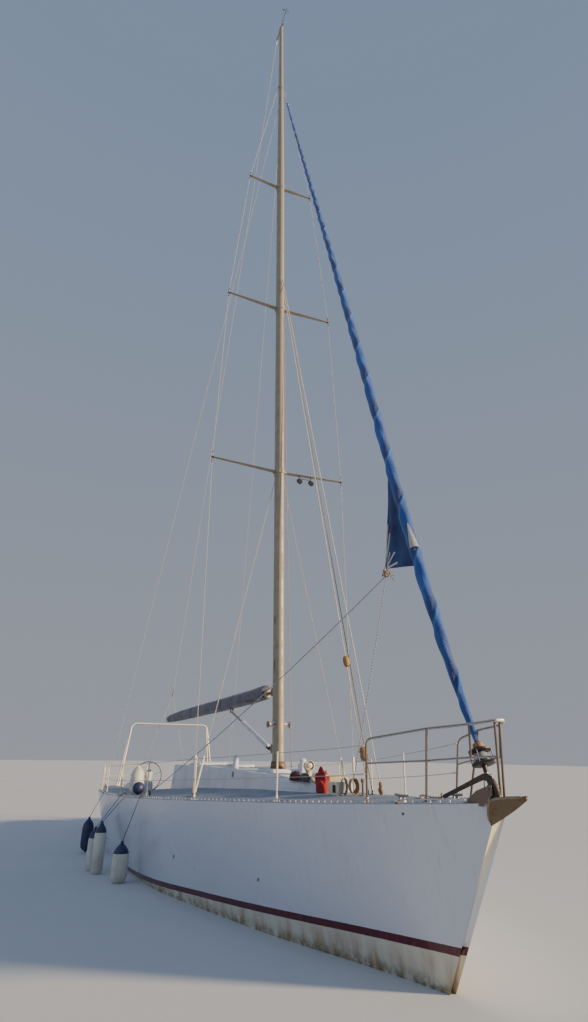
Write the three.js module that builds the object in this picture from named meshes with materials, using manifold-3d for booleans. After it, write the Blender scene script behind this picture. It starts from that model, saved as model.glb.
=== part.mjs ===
// Sailing yacht afloat: sloop with a fin keel, spade rudder and furled sails.
// Millimetres. +X to the bow, +Y to port, +Z up. The origin is on the waterline plane, on the centreline.
// "aft" counts from the stem at the waterline towards the stern, so X = stemX - aft.
import * as THREE from 'three';
import { mergeVertices } from 'three/addons/utils/BufferGeometryUtils.js';
import Module from 'manifold-3d';

const wasm = await Module();
wasm.setup();
const { Vector3, Vector2 } = THREE;
const deg = Math.PI / 180;

// Driving dimensions
const stemX = 8700;
const seat = 0.3; // gap left between a piece and what carries it
const rake = 2.45 * deg; // mast and its swivel axis lean aft
const mastFootAft = 4990;
const mastFootZ = 2000;
const mastTopZ = 28000;
const taperZ = 18600;
const mastChord = 300;
const mastWidth = 200;
const mastHeadScale = 0.58;
const houndsZ = 24100;
const chainplate = { aft: 4950, side: 1600 };
const goose = { aft: 5410, z: 3390 }; // boom pin
const boomYaw = 5 * deg; // boom lies to starboard
const boomRise = 1.05 * deg;
const boomLength = 7320;
const vangDrop = 1060; // vang foot below the boom pin, along the mast
const vangReach = 2150; // vang eye aft of the boom pin, along the boom
// Deck rise per millimetre of half breadth, aft of the stem: more forward of the cockpit
const camberRows = [[-2000, 0.1], [4300, 0.1], [6000, 0.086], [8000, 0.08], [9500, 0.056], [11000, 0.04],
  [20000, 0.04]];
const camber = (aft) => {
  const k = Math.max(1, camberRows.findIndex((row) => row[0] >= aft));
  const [from, to] = [camberRows[k - 1], camberRows[k]];
  return mix(from[1], to[1], (aft - from[0]) / (to[0] - from[0]));
};
const footwellFloor = 620;
const seatFloor = 1020;
const helmFloor = 780;
const keelSoleZ = -3300;
const rudderAft = 15550;
const shaftTilt = 8 * deg;
const railHeight = 640;

const at = (aft, side, z) => new Vector3(stemX - aft, -side, z); // side counts to starboard
const mix = (a, b, u) => a + (b - a) * u;

// Colours
const paint = (color, roughness, metalness = 0) =>
  new THREE.MeshStandardMaterial({ color, roughness, metalness });
const white = paint(0xdfe3e8, 0.35);
const deckWhite = paint(0xd4d8da, 0.7);
const antifoul = paint(0x2d3238, 0.8);
const steel = paint(0xb9bcbe, 0.25, 1);
const alloy = paint(0x9a9a92, 0.45, 0.9);
const black = paint(0x1c1d20, 0.6);
const blueCloth = paint(0x1f5fae, 0.85);
const navyCloth = paint(0x1b2a55, 0.85);
const greyCloth = paint(0x62606c, 0.85);
const redCloth = paint(0xa82430, 0.85);
const cream = paint(0xe6dcc0, 0.5);
const bronze = paint(0x9a7a3c, 0.35, 0.9);
const teak = paint(0x8a6238, 0.8);
const galvanised = paint(0x6f6a5c, 0.6, 0.7);

// Closed mesh from rings of points: each ring is joined to the next and both ends are capped
function loft(rings) {
  const count = rings[0].length;
  const centre = (ring) => ring.reduce((sum, p) => sum.add(p), new Vector3()).divideScalar(count);
  const points = rings.flat().concat([centre(rings[0]), centre(rings.at(-1))]);
  const first = rings.length * count;
  const index = [];
  for (let r = 0; r < rings.length; r++) {
    for (let i = 0; i < count; i++) {
      const j = (i + 1) % count;
      const [a, b] = [r * count + i, r * count + j];
      if (r === 0) index.push(first, b, a);
      if (r === rings.length - 1) index.push(first + 1, a, b);
      else index.push(a, b, b + count, a, b + count, a + count);
    }
  }
  const geometry = new THREE.BufferGeometry().setFromPoints(points);
  geometry.setIndex(index);
  if (volume(geometry) < 0) geometry.setIndex(index.reverse());
  return geometry;
}

function volume(geometry) {
  const place = geometry.attributes.position;
  const index = geometry.index.array;
  const corner = (k) => new Vector3().fromBufferAttribute(place, index[k]);
  let sum = 0;
  for (let k = 0; k < index.length; k += 3) sum += corner(k).dot(corner(k + 1).cross(corner(k + 2)));
  return sum;
}

// Round tube through a list of points, mitred at its bends; radius may be a list, one for each point
function tube(points, radius, sides = 8) {
  const size = (k) => (Array.isArray(radius) ? radius[k] : radius);
  const step = points.map((p, k) => points[Math.min(k + 1, points.length - 1)].clone().sub(p).normalize());
  step[points.length - 1] = step[points.length - 2];
  const start = Math.abs(step[0].z) < 0.9 ? new Vector3(0, 0, 1) : new Vector3(1, 0, 0);
  let side = start.clone().cross(step[0]).normalize();
  const rings = points.map((p, k) => {
    const before = step[Math.max(k - 1, 0)];
    const along = before.clone().add(step[k]).normalize();
    side = side.clone().sub(along.clone().multiplyScalar(side.dot(along))).normalize();
    const up = along.clone().cross(side);
    const stretch = 1 / Math.max(along.dot(before), 0.5);
    const bend = step[k].clone().sub(before);
    bend.sub(along.clone().multiplyScalar(bend.dot(along)));
    const outward = bend.length() > 1e-6 ? bend.normalize() : null;
    return Array.from({ length: sides }, (_, i) => {
      const turn = (2 * Math.PI * (i + 0.5)) / sides;
      const offset = side.clone().multiplyScalar(Math.cos(turn));
      offset.addScaledVector(up, Math.sin(turn));
      offset.multiplyScalar(size(k));
      if (outward) offset.add(outward.clone().multiplyScalar(offset.dot(outward) * (stretch - 1)));
      return p.clone().add(offset);
    });
  });
  return loft(rings);
}

// Corner points turned into a path with rounded bends
function rounded(corners, radius, pieces = 4) {
  const out = [corners[0].clone()];
  for (let k = 1; k < corners.length - 1; k++) {
    const before = corners[k - 1].clone().sub(corners[k]).setLength(radius).add(corners[k]);
    const after = corners[k + 1].clone().sub(corners[k]).setLength(radius).add(corners[k]);
    const bend = new THREE.QuadraticBezierCurve3(before, corners[k], after);
    out.push(...bend.getPoints(pieces));
  }
  out.push(corners.at(-1).clone());
  return out;
}

const box = (low, high) => {
  const size = high.clone().sub(low);
  const middle = low.clone().add(high).multiplyScalar(0.5);
  return new THREE.BoxGeometry(Math.abs(size.x), Math.abs(size.y), Math.abs(size.z)).translate(...middle);
};
const rod = (from, to, radius, sides = 10) => tube([from, to], radius, sides);
const turned = (profile, sides = 20) => {
  const lathe = new THREE.LatheGeometry(profile.map(([r, z]) => new Vector2(r, z)), sides);
  return lathe.rotateX(Math.PI / 2);
};

// Radius of a many-sided bore whose flats clear a round shaft by the seat gap
const bore = (radius, sides) => (radius + seat) / Math.cos(Math.PI / sides);

// Solids for booleans
function solid(geometry) {
  if (!(geometry instanceof THREE.BufferGeometry)) return geometry;
  let plain = new THREE.BufferGeometry();
  plain.setAttribute('position', geometry.attributes.position.clone());
  if (geometry.index) plain.setIndex(geometry.index.clone());
  plain = mergeVertices(plain, 1e-3);
  if (volume(plain) < 0) plain.setIndex(Array.from(plain.index.array).reverse());
  return new wasm.Manifold(new wasm.Mesh({
    numProp: 3,
    vertProperties: new Float32Array(plain.attributes.position.array),
    triVerts: new Uint32Array(plain.index.array),
  }));
}
const joined = (...parts) => parts.map(solid).reduce((a, b) => a.add(b));
const cut = (part, ...tools) => tools.map(solid).reduce((a, b) => a.subtract(b), solid(part));
// The biggest piece of a cut body, without slivers
const biggest = (body) => body.decompose().sort((a, b) => b.volume() - a.volume())[0];
function surface(body) {
  if (body instanceof THREE.BufferGeometry) return body;
  const mesh = body.getMesh();
  const geometry = new THREE.BufferGeometry();
  geometry.setAttribute('position', new THREE.BufferAttribute(mesh.vertProperties.slice(), mesh.numProp));
  geometry.setIndex(new THREE.BufferAttribute(mesh.triVerts.slice(), 1));
  return geometry;
}

const yacht = new THREE.Group();
function add(name, body, material, parent = yacht) {
  const mesh = new THREE.Mesh(surface(body), material);
  mesh.name = name;
  parent.add(mesh);
  return mesh;
}

// Hull lines. Each row is one section from the stem to the transom. Columns: where its sheer, waterline
// and keel points lie aft of the stem, half breadth and height of the sheer, half breadth and height of
// the waterline point, and height of the canoe body's bottom.
const sections = [
  [-1080, 0, 650, 68, 1800, 38, 0, -300],
  [-800, 160, 900, 162, 1778, 82, 0, -380],
  [-270, 560, 1300, 362, 1741, 208, 0, -470],
  [600, 1250, 1900, 640, 1690, 455, 0, -560],
  [1500, 2000, 2500, 900, 1638, 755, 0, -640],
  [2300, 2700, 3000, 1135, 1600, 1015, 0, -690],
  [3300, 3500, 3600, 1460, 1556, 1265, 0, -735],
  [4300, 4400, 4450, 1750, 1511, 1520, 0, -765],
  [6000, 6000, 6000, 2100, 1437, 1940, 0, -795],
  [8000, 8000, 8000, 2360, 1356, 2120, 0, -800],
  [10000, 10000, 10000, 2480, 1298, 2195, 0, -770],
  [11500, 11500, 11500, 2500, 1275, 2195, 0, -710],
  [13000, 13000, 13000, 2420, 1240, 2090, 0, -600],
  [14500, 14500, 14500, 2250, 1215, 1890, 0, -430],
  [15700, 15725, 15750, 2080, 1200, 1720, 60, -190],
  [16500, 17017, 17105, 1950, 1190, 1560, 250, 90],
];

// Point between the rows, by a smooth curve through each column
function section(u) {
  const k = Math.min(Math.floor(u), sections.length - 2);
  const s = u - k;
  const row = (i) => sections[Math.max(0, Math.min(sections.length - 1, i))];
  return sections[k].map((_, c) => {
    const [a, b, d, e] = [row(k - 1)[c], row(k)[c], row(k + 1)[c], row(k + 2)[c]];
    return b + 0.5 * s * (d - a + s * (2 * a - 5 * b + 4 * d - e + s * (3 * (b - d) + e - a)));
  });
}

const topsideSteps = 3;
const bottomSteps = 5;
const deckSteps = 6;
function sectionRing(u) {
  const [sheerAft, waterAft, keelAft, sheerHalf, sheerZ, waterHalf, waterZ, keelZ] = section(u);
  const drop = waterZ - keelZ;
  const lean = (waterAft - sheerAft) / (sheerZ - waterZ);
  const flare = (sheerHalf - waterHalf) / (sheerZ - waterZ);
  const bulge = 0.012 * sheerHalf;
  const topside = new THREE.QuadraticBezierCurve3(
    at(sheerAft, -sheerHalf, sheerZ),
    at(mix(sheerAft, waterAft, 0.5), -mix(sheerHalf, waterHalf, 0.5) - bulge, mix(sheerZ, waterZ, 0.5)),
    at(waterAft, -waterHalf, waterZ));
  const bottom = new THREE.CubicBezierCurve3(
    at(waterAft, -waterHalf, waterZ),
    at(waterAft + lean * 0.55 * drop, -(waterHalf - flare * 0.55 * drop), waterZ - 0.55 * drop),
    at(keelAft, -0.52 * waterHalf, keelZ),
    at(keelAft, 0, keelZ));
  const port = topside.getPoints(topsideSteps).concat(bottom.getPoints(bottomSteps).slice(1));
  const starboard = port.slice(1, -1).map((p) => new Vector3(p.x, -p.y, p.z));
  const deck = Array.from({ length: deckSteps + 1 }, (_, i) => {
    const across = 1 - (2 * i) / deckSteps;
    return at(sheerAft, sheerHalf * across, sheerZ + camber(sheerAft) * sheerHalf * (1 - across * across));
  });
  return [...port.slice(1), ...starboard.reverse(), ...deck];
}

const stationAt = (aft) => {
  let [low, high] = [0, sections.length - 1];
  for (let k = 0; k < 40; k++) {
    const middle = (low + high) / 2;
    if (section(middle)[0] < aft) low = middle;
    else high = middle;
  }
  return low;
};
const sheerHalf = (aft) => section(stationAt(aft))[3];
const sheerZ = (aft) => section(stationAt(aft))[4];
const deckZ = (aft, side) => {
  const half = sheerHalf(aft);
  return sheerZ(aft) + camber(aft) * half * (1 - (side / half) ** 2);
};

const hullRings = [];
for (let u = 0; u <= sections.length - 1; u += 0.5) hullRings.push(sectionRing(u));
const bareHull = solid(loft(hullRings));

// Cockpit wells: rows of aft from, aft to, half width, floor height
const wells = [
  [9600, 10300, 300, 700],
  [10700, 13450, 430, footwellFloor],
  [10650, 13500, 1230, seatFloor],
  [13500, 15850, 1500, helmFloor],
  [15800, 17400, 430, helmFloor],
];
const wellBoxes = wells.map(([from, to, half, floor]) => box(at(from, half, floor), at(to, -half, 2600)));

// Rudder stock and propeller shaft run in bores of the hull
const stockRadius = 60;
const shaftRadius = 20;
const shaftStart = at(12250, 0, -500);
const shaftLine = new Vector3(-Math.cos(shaftTilt), 0, -Math.sin(shaftTilt));
const alongShaft = (d) => shaftStart.clone().addScaledVector(shaftLine, d);
const stockBore = rod(at(rudderAft, 0, -900), at(rudderAft, 0, 300), bore(stockRadius, 24), 24);
const shaftBore = rod(alongShaft(-300), alongShaft(1200), bore(shaftRadius, 14), 14);
const hull = cut(bareHull, ...wellBoxes, stockBore, shaftBore);

// Moulded in three: the bottom up to a level under the cockpit floors, and the topsides and deck forward
// and aft of the cockpit's fore end
const topsidesFrom = 500;
const cockpitFrom = 9540;
const hullParts = [
  ['hull', -2000, 20000, -2000, topsidesFrom],
  ['topsides_fore', -2000, cockpitFrom, topsidesFrom + seat, 3000],
  ['topsides_aft', cockpitFrom + seat, 20000, topsidesFrom + seat, 3000],
];
for (const [name, from, to, low, high] of hullParts) {
  add(name, hull.intersect(solid(box(at(from, 4000, low), at(to, -4000, high)))), white);
}

const above = bareHull.translate([0, 0, seat]).add(bareHull);
const below = bareHull.translate([0, 0, -seat]);
const hullAbove = hull.translate([0, 0, seat]).add(hull);

// Keel: foil sections in a loft, and a ballast bulb with a flat sole
const foil = (chordAft, chord, thick, z, points = 9) => {
  const upper = Array.from({ length: points }, (_, i) => {
    const u = 0.5 - 0.5 * Math.cos((Math.PI * i) / (points - 1));
    const half = 5 * thick
      * (0.2969 * Math.sqrt(u) - 0.126 * u - 0.3516 * u ** 2 + 0.2843 * u ** 3 - 0.1036 * u ** 4);
    return [chordAft + chord * u, half * chord + (i === points - 1 ? 0 : 4)];
  });
  const ring = upper.map(([aft, half], i) => at(aft, i === 0 ? 0 : half, z));
  const back = upper.slice(1).reverse().map(([aft, half], i) => at(aft, -half - (i === 0 ? 4 : 0), z));
  ring[points - 1] = at(upper[points - 1][0], 4, z);
  return ring.concat(back);
};
const bulb = { from: 6800, length: 3000, halfWidth: 290, halfHeight: 215, z: keelSoleZ + 190 };
const bulbRing = (u, grow = 0) => {
  const fat = Math.sqrt(Math.sin(Math.PI * Math.min(u ** 0.72, 1))) + 0.03;
  return Array.from({ length: 16 }, (_, i) => {
    const turn = (2 * Math.PI * i) / 16;
    const z = bulb.z + Math.max(Math.sin(turn) * (bulb.halfHeight * fat + grow), keelSoleZ - bulb.z);
    return at(bulb.from + bulb.length * u, Math.cos(turn) * (bulb.halfWidth * fat + grow), z);
  });
};
const bulbSteps = [0, 0.04, 0.12, 0.25, 0.42, 0.6, 0.78, 0.92, 1];
const fin = loft([foil(7250, 2050, 0.11, -500), foil(7420, 1450, 0.11, bulb.z)]);
add('keel_fin', cut(fin, below, loft(bulbSteps.map((u) => bulbRing(u, seat)))), antifoul);
add('keel_bulb', loft(bulbSteps.map((u) => bulbRing(u))), antifoul);

// Rudder: blade and stock, turning on the stock
const rudderTop = -330;
const blade = loft([foil(rudderAft - 150, 760, 0.13, rudderTop), foil(rudderAft - 90, 470, 0.13, -2350)]);
const stock = rod(at(rudderAft, 0, -1500), at(rudderAft, 0, 260), stockRadius, 24);
add('rudder', joined(blade, stock), antifoul);

// Propeller shaft in its bracket, and a three-bladed propeller
const bracketAt = 2250; // down the shaft from its inner end
const barrel = rod(alongShaft(bracketAt - 90), alongShaft(bracketAt + 90), 45, 16);
const strutFoot = alongShaft(bracketAt);
const strutHeight = 700;
const strut = loft([0, strutHeight].map((rise) => [[-70, 0], [-20, 14], [60, 5], [60, -5], [-20, -14]]
  .map(([aft, y]) => new Vector3(strutFoot.x - aft, y, strutFoot.z + rise))));
const shaftHole = rod(alongShaft(0), alongShaft(bracketAt + 400), bore(shaftRadius, 14), 14);
add('shaft_bracket', cut(joined(barrel, strut), shaftHole, below), bronze);

const propeller = new THREE.Group();
propeller.position.copy(alongShaft(bracketAt + 190));
propeller.quaternion.setFromUnitVectors(new Vector3(0, 0, 1), shaftLine);
yacht.add(propeller);
const hub = turned([[0, -59], [58, -59], [62, 40], [40, 110], [0, 150]], 16);
const bladeRings = [[30, 62, 52], [120, 105, 38], [200, 110, 28], [260, 40, 22]];
const propBlade = (turn) => loft(bladeRings.map(([radius, half, pitch]) => [[1, 0], [0, 9], [-1, 0], [0, -9]]
  .map(([u, v]) => {
    const tilt = pitch * deg;
    const side = u * half * Math.cos(tilt) - v * Math.sin(tilt);
    const along = u * half * Math.sin(tilt) + v * Math.cos(tilt);
    return new Vector3(radius, side, along).applyAxisAngle(new Vector3(0, 0, 1), turn);
  })));
const shaft = rod(new Vector3(0, 0, -bracketAt - 390), new Vector3(0, 0, 0), shaftRadius, 14);
add('propeller', joined(hub, shaft, ...[0, 120, 240].map((a) => propBlade(a * deg))), bronze, propeller);

// Toe rails: a low upright strip inboard of the sheer on each side, and mooring cleats on it
const railFrom = -700;
const railTo = 16300;
const cleatPlaces = [150, 8600, 15700]; // aft of the stem
const cleat = (aft, sign) => {
  const side = sign * (sheerHalf(aft) - 130);
  const z = deckZ(aft, side);
  return joined(
    box(at(aft - 60, side - 22, z - 30), at(aft + 60, side + 22, z + 55)),
    rod(at(aft - 150, side, z + 62), at(aft + 150, side, z + 62), 17, 6));
};
const cleatPad = (aft, sign) => {
  const edge = sheerHalf(aft) - 20;
  const z = deckZ(aft, edge);
  return box(at(aft - 60, sign * (edge - 150), z - 40), at(aft + 60, sign * edge, z + 24));
};
function toeRail(sign) {
  const count = 20;
  const rings = Array.from({ length: count + 1 }, (_, i) => {
    const aft = mix(railFrom, railTo, i / count);
    const outer = sheerHalf(aft) - 14;
    const inner = outer - 12;
    const z = deckZ(aft, outer);
    return [at(aft, sign * outer, z - 20), at(aft, sign * outer, z + 50), at(aft, sign * inner, z + 50),
      at(aft, sign * inner, z - 20)];
  });
  const parts = [loft(rings), ...cleatPlaces.flatMap((aft) => [cleatPad(aft, sign), cleat(aft, sign)])];
  return biggest(cut(joined(...parts), above));
}
const railStb = toeRail(1);
add('toe_rail_stb', railStb, alloy);
add('toe_rail_port', toeRail(-1), alloy);

// Guard rails: stanchions in sockets on the deck, two wires through them
const stanchions = [2300, 4450, 6650, 8800, 10800, 12500, 14200];
const inboard = (aft) => sheerHalf(aft) - 75;
const railPoint = (aft, sign, rise) => at(aft, sign * inboard(aft), sheerZ(aft) + rise);
// The pulpit's last leg, starboard and port: how far its foot and its top are aft of the stem
const pulpitTop = 2400;
const lastLeg = { 1: [604, 590], '-1': [264, 20] };
const lastLegAft = (sign, z) => mix(...lastLeg[sign], (z - 1660) / (pulpitTop - 1660));
const pushpitFrom = 15300;
const wireFrom = 626;
function guardRail(sign) {
  const parts = stanchions.flatMap((aft) => {
    const foot = railPoint(aft, sign, -40);
    return [rod(foot, railPoint(aft, sign, railHeight + 12), 13, 6)];
  });
  for (const rise of [railHeight, 320]) {
    const wireStops = [wireFrom, ...stanchions, pushpitFrom - 26];
    parts.push(tube(wireStops.map((aft) => railPoint(aft, sign, rise)), 5, 4));
    // the wire's thicker end, from the pulpit's last leg
    const start = lastLegAft(sign, sheerZ(wireFrom) + rise) + 30;
    parts.push(rod(railPoint(start, sign, rise), railPoint(wireFrom + 30, sign, rise), 7, 6));
  }
  return cut(joined(...parts), above);
}
add('guard_rail_stb', guardRail(1), steel);
add('guard_rail_port', guardRail(-1), steel);

// Pulpit: top rail round the bow, middle rails, and three legs a side. It ends further forward to port.
function pulpit() {
  const parts = [];
  for (const sign of [1, -1]) {
    const [foot, end] = lastLeg[sign];
    const leg = [railPoint(foot, sign, -40), at(end, sign * inboard(end), pulpitTop),
      at(-400, sign * 352, 2492)];
    const front = [leg[2], at(-930, sign * 200, 2520), at(-1165, sign * 60, 2550), at(-1165, 0, 2550)];
    parts.push(tube([...rounded(leg, 100, 3).slice(0, -1), ...rounded(front, 50, 2)], 15, 6));
    const midEnd = lastLegAft(sign, 2128);
    parts.push(tube([at(midEnd, sign * inboard(midEnd), 2128), at(-230, sign * 312, 2166),
      at(-900, sign * 190, 2205), at(-1102, sign * 34, 2217)], 11, 6));
    parts.push(rod(at(-210, sign * 292, 1700), at(-400, sign * 352, 2492), 14, 6));
    parts.push(rod(at(-900, sign * 190, 2205), at(-930, sign * 200, 2520), 11, 6));
    parts.push(rod(at(-1075, sign * 22, 1820), at(-1130, sign * 32, 2545), 12, 6));
  }
  parts.push(box(at(-1185, 60, 2542), at(-1060, -60, 2566)));
  return cut(joined(...parts), above);
}
add('pulpit', pulpit(), steel);

// Stern rail, open over the boarding steps, and the arch that carries aerials
function sternRail(sign) {
  const corner = (rise) => [railPoint(pushpitFrom, sign, -40), railPoint(pushpitFrom, sign, rise),
    at(16380, sign * 1840, 1190 + rise), at(16380, sign * 520, 1215 + rise), at(16380, sign * 520, 1180)];
  const middle = corner(320).slice(1, 4);
  const post = [1150, 1190 + railHeight].map((z) => at(16200, sign * 1878, z));
  const rails = [tube(rounded(corner(railHeight), 110, 2), 15, 6), tube(rounded(middle, 110, 2), 12, 6)];
  return cut(joined(...rails, rod(...post, 14, 6)),
    above);
}
add('stern_rail_stb', sternRail(1), steel);
add('stern_rail_port', sternRail(-1), steel);

const arch = { aft: 15650, half: 1320, top: 3200, bar: 24 };
function sternArch() {
  const frame = (aft, footAft) => tube(rounded([at(footAft, arch.half + 260, 1150),
    at(aft, arch.half, arch.top),
    at(aft, -arch.half, arch.top), at(footAft, -arch.half - 260, 1150)], 180, 3), arch.bar, 8);
  const struts = [-1, -0.5, 0, 0.5, 1].map((u) => rod(at(arch.aft - 60, u * (arch.half - 190), arch.top),
    at(arch.aft + 60, u * (arch.half - 190), arch.top), 16, 6));
  return cut(joined(frame(arch.aft - 60, arch.aft - 330), frame(arch.aft + 60, arch.aft + 210), ...struts),
    hullAbove);
}
add('stern_arch', sternArch(), steel);

// Coachroof: rows of aft, half width at the deck, half width at the edge of the roof, edge height and
// crown height
const roofRows = [
  [2590, 340, 300, 1795, 1818],
  [2700, 400, 350, 1825, 1850],
  [3600, 560, 510, 1845, 1868],
  [3760, 575, 525, 1890, 1914],
  [5000, 620, 570, 1900, 1925],
  [5800, 660, 610, 1942, 1965],
  [7000, 720, 665, 1945, 1972],
  [9000, 820, 765, 1950, 1980],
  [10400, 880, 820, 1950, 1980],
];
const roofRing = ([aft, baseHalf, edgeHalf, edgeZ, crownZ]) => {
  const across = [1, 0.92, 0.6, 0.25, 0, -0.25, -0.6, -0.92, -1];
  const top = across.map((u) =>
    at(aft, edgeHalf * u, Math.abs(u) === 1 ? edgeZ : mix(crownZ, edgeZ + 22, u * u)));
  return [at(aft, baseHalf, 1350), ...top, at(aft, -baseHalf, 1350)];
};
const roofZ = (aft, side) => {
  const k = Math.max(1, roofRows.findIndex((row) => row[0] >= aft));
  const u = (aft - roofRows[k - 1][0]) / (roofRows[k][0] - roofRows[k - 1][0]);
  const [edgeHalf, edgeZ, crownZ] = [2, 3, 4].map((c) => mix(roofRows[k - 1][c], roofRows[k][c], u));
  return mix(crownZ, edgeZ + 22, (side / edgeHalf) ** 2);
};
// Companionway: slot in the aft end, closed by boards, under a sliding hatch
const companion = { from: 9560, to: 10400, half: 320, floor: 1040 };
const companionSlot = box(at(companion.from, companion.half, companion.floor),
  at(10900, -companion.half, 2300));
const roofLoft = solid(loft(roofRows.map(roofRing)));
const roofAbove = roofLoft.translate([0, 0, seat]);

const boards = box(at(10330, companion.half - 1, deckZ(10330, 0) + seat),
  at(10365, -companion.half + 1, 1962));
add('washboards', cut(boards, hullAbove), black);

// Sliding companionway hatch, and the two low rails of the roof that it runs on
const hatchRails = [1, -1].map((sign) => loft([8750, 9000, 10390].map((aft) =>
  [[350, -20], [382, -20], [382, 5.2], [350, 5.2]]
  .map(([side, rise]) => at(aft, sign * side, roofZ(aft, side) + rise)))));
const hatchRing = (aft, rise) => [1, 0.5, 0, -0.5, -1]
  .map((u) => at(aft, 385 * u, roofZ(aft, 385 * u) + rise));
const slidingHatch = loft([9480, 9900, 10385].map((aft) => [
  ...hatchRing(aft, 58), ...hatchRing(aft, 6).reverse()]));
add('companionway_hatch', slidingHatch, deckWhite);

// Hatches with hinges on their forward edge: name, aft of the middle, half length, half width
const lids = [['fore_hatch', 3150, 300, 300], ['saloon_hatch', 7300, 260, 260]];
const frames = [];
for (const [name, aft, halfLong, halfWide] of lids) {
  const level = Math.max(roofZ(aft - halfLong, 0), roofZ(aft + halfLong, 0)) + 14;
  const rim = box(at(aft - halfLong, halfWide, level - 120), at(aft + halfLong, -halfWide, level));
  const well = box(at(aft - halfLong + 45, halfWide - 45, level - 60),
    at(aft + halfLong - 45, -halfWide + 45, level + 20));
  frames.push({ rim, well });
  add(name, box(at(aft - halfLong, halfWide, level + seat), at(aft + halfLong, -halfWide, level + 34)),
    black);
}
// Raised block that the mast stands on
const plinthTop = 1980;
const plinth = loft([[1700, 1.0], [plinthTop, 0.96]].map(([z, s]) => [[-1, -1], [1, -1], [1, 1], [-1, 1]]
  .map(([u, v]) => at(4960 + u * 420 * s, v * 300 * s, z))));
add('coachroof', cut(joined(roofLoft, plinth, ...hatchRails, ...frames.map((f) => f.rim)),
  above, companionSlot, ...frames.map((f) => f.well)), deckWhite);

// Mast: oval sections, plain to the upper spreaders and tapered above them
const mastAft = (z) => mastFootAft + (z - mastFootZ) * Math.tan(rake);
const mastRing = (z, grow = 0) => {
  const scale = z <= taperZ ? 1 : mix(1, mastHeadScale, (z - taperZ) / (mastTopZ - taperZ));
  return Array.from({ length: 16 }, (_, i) => {
    const turn = (2 * Math.PI * i) / 16;
    const round = (v) => Math.sign(v) * Math.abs(v) ** 0.85;
    return at(mastAft(z) + round(Math.cos(turn)) * (mastChord / 2 * scale + grow),
      round(Math.sin(turn)) * (mastWidth / 2 * scale + grow), z);
  });
};
const mastBody = (grow, from = mastFootZ, to = mastTopZ) =>
  loft([from, ...[taperZ].filter((z) => z > from && z < to), to]
  .map((z) => mastRing(z, grow)));
const mastWinch = (sign) => rod(at(mastAft(2760) - 20, sign * 80, 2760),
  at(mastAft(2760) - 20, sign * 270, 2760), 52, 10);
const nearMast = mastBody(seat);

// Collar round the mast where it stands on the block
const collarRing = (grow) => loft([plinthTop + seat, 2105].map((z) => mastRing(z, grow)));
add('mast_collar', cut(collarRing(32), mastBody(seat, mastFootZ - seat, 2200)), teak);

// Spreaders: name, root height, half span, root chord
const spreaders = [
  ['spreaders_lower', 8380, 1625, 150],
  ['spreaders_middle', 13530, 1455, 135],
  ['spreaders_upper', 18600, 990, 120],
];
const tipRise = 70;
const spreaderSolids = {};
const tips = spreaders.map(([, z, half]) => ({ aft: mastAft(z), half, z: z + tipRise }));
for (const [name, z, half, chord] of spreaders) {
  const wing = (side, rise, size) => [[-0.5, 0], [-0.2, 14], [0.3, 11], [0.5, 0], [0.3, -11], [-0.2, -14]]
    .map(([u, v]) => at(mastAft(z) + u * size, side, z + rise + v));
  const arms = loft([wing(-half, tipRise, chord * 0.55), wing(0, 0, chord),
    wing(half, tipRise, chord * 0.55)]);
  const band = loft([z - 70, z + 70].map((level) => mastRing(level, 14)));
  spreaderSolids[name] = cut(joined(arms, band), nearMast);
  add(name, spreaderSolids[name], alloy);
}

// Floodlights hang from the port lower spreader
const lampPlaces = [520, 820];
const lampZ = spreaders[0][1];
const lamps = lampPlaces.map((side) => joined(
  rod(at(mastAft(lampZ), -side, lampZ - 120),
    at(mastAft(lampZ), -side, lampZ + tipRise * side / spreaders[0][2]), 12, 6),
  rod(at(mastAft(lampZ) - 70, -side, lampZ - 150), at(mastAft(lampZ) + 60, -side, lampZ - 105), 62, 14)));
const lampBridge = box(at(mastAft(lampZ) - 8, -520, lampZ - 60), at(mastAft(lampZ) + 8, -820, lampZ - 40));
const lowerArms = spreaderSolids.spreaders_lower;
const overArms = box(at(mastAft(lampZ) - 200, 0, lampZ + 60), at(mastAft(lampZ) + 200, -1200, lampZ + 300));
add('floodlights', cut(joined(...lamps, lampBridge), overArms, lowerArms,
  lowerArms.translate([0, 0, -seat])), black);

// Masthead: crane with the backstay eye, aerial and wind instruments
const craneZ = mastTopZ + seat;
const headAft = mastAft(mastTopZ);
const crane = joined(
  box(at(headAft - 190, 30, craneZ), at(headAft + 470, -30, craneZ + 60)),
  rod(at(headAft - 60, 0, craneZ + 40), at(headAft - 60, 0, craneZ + 900), 7, 5),
  tube([at(headAft + 40, 0, craneZ + 40), at(headAft - 420, 0, craneZ + 260),
    at(headAft - 420, 0, craneZ + 420)], 9, 6),
  rod(at(headAft - 420, -150, craneZ + 400), at(headAft - 420, 150, craneZ + 400), 10, 6),
  rod(at(headAft + 120, 0, craneZ + 40), at(headAft + 120, 0, craneZ + 150), 38, 10));
add('masthead', crane, black);

// Furler drum and the furled headsail round the forestay
const tack = at(-840, 0, 2190);
const furlTop = at(5250, 0, 22100);
const stayDir = furlTop.clone().sub(tack).normalize();
const onStay = (d) => tack.clone().addScaledVector(stayDir, d);
const drum = new THREE.Group();
drum.position.copy(tack);
drum.quaternion.setFromUnitVectors(new Vector3(0, 0, 1), stayDir);
yacht.add(drum);
add('furler_drum', turned([[0, -130], [26, -130], [26, -60], [120, -55], [120, -35], [64, -20], [64, 60],
  [120, 75],
  [120, 95], [34, 110], [34, 170], [0, 170]], 14), black, drum);
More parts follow.
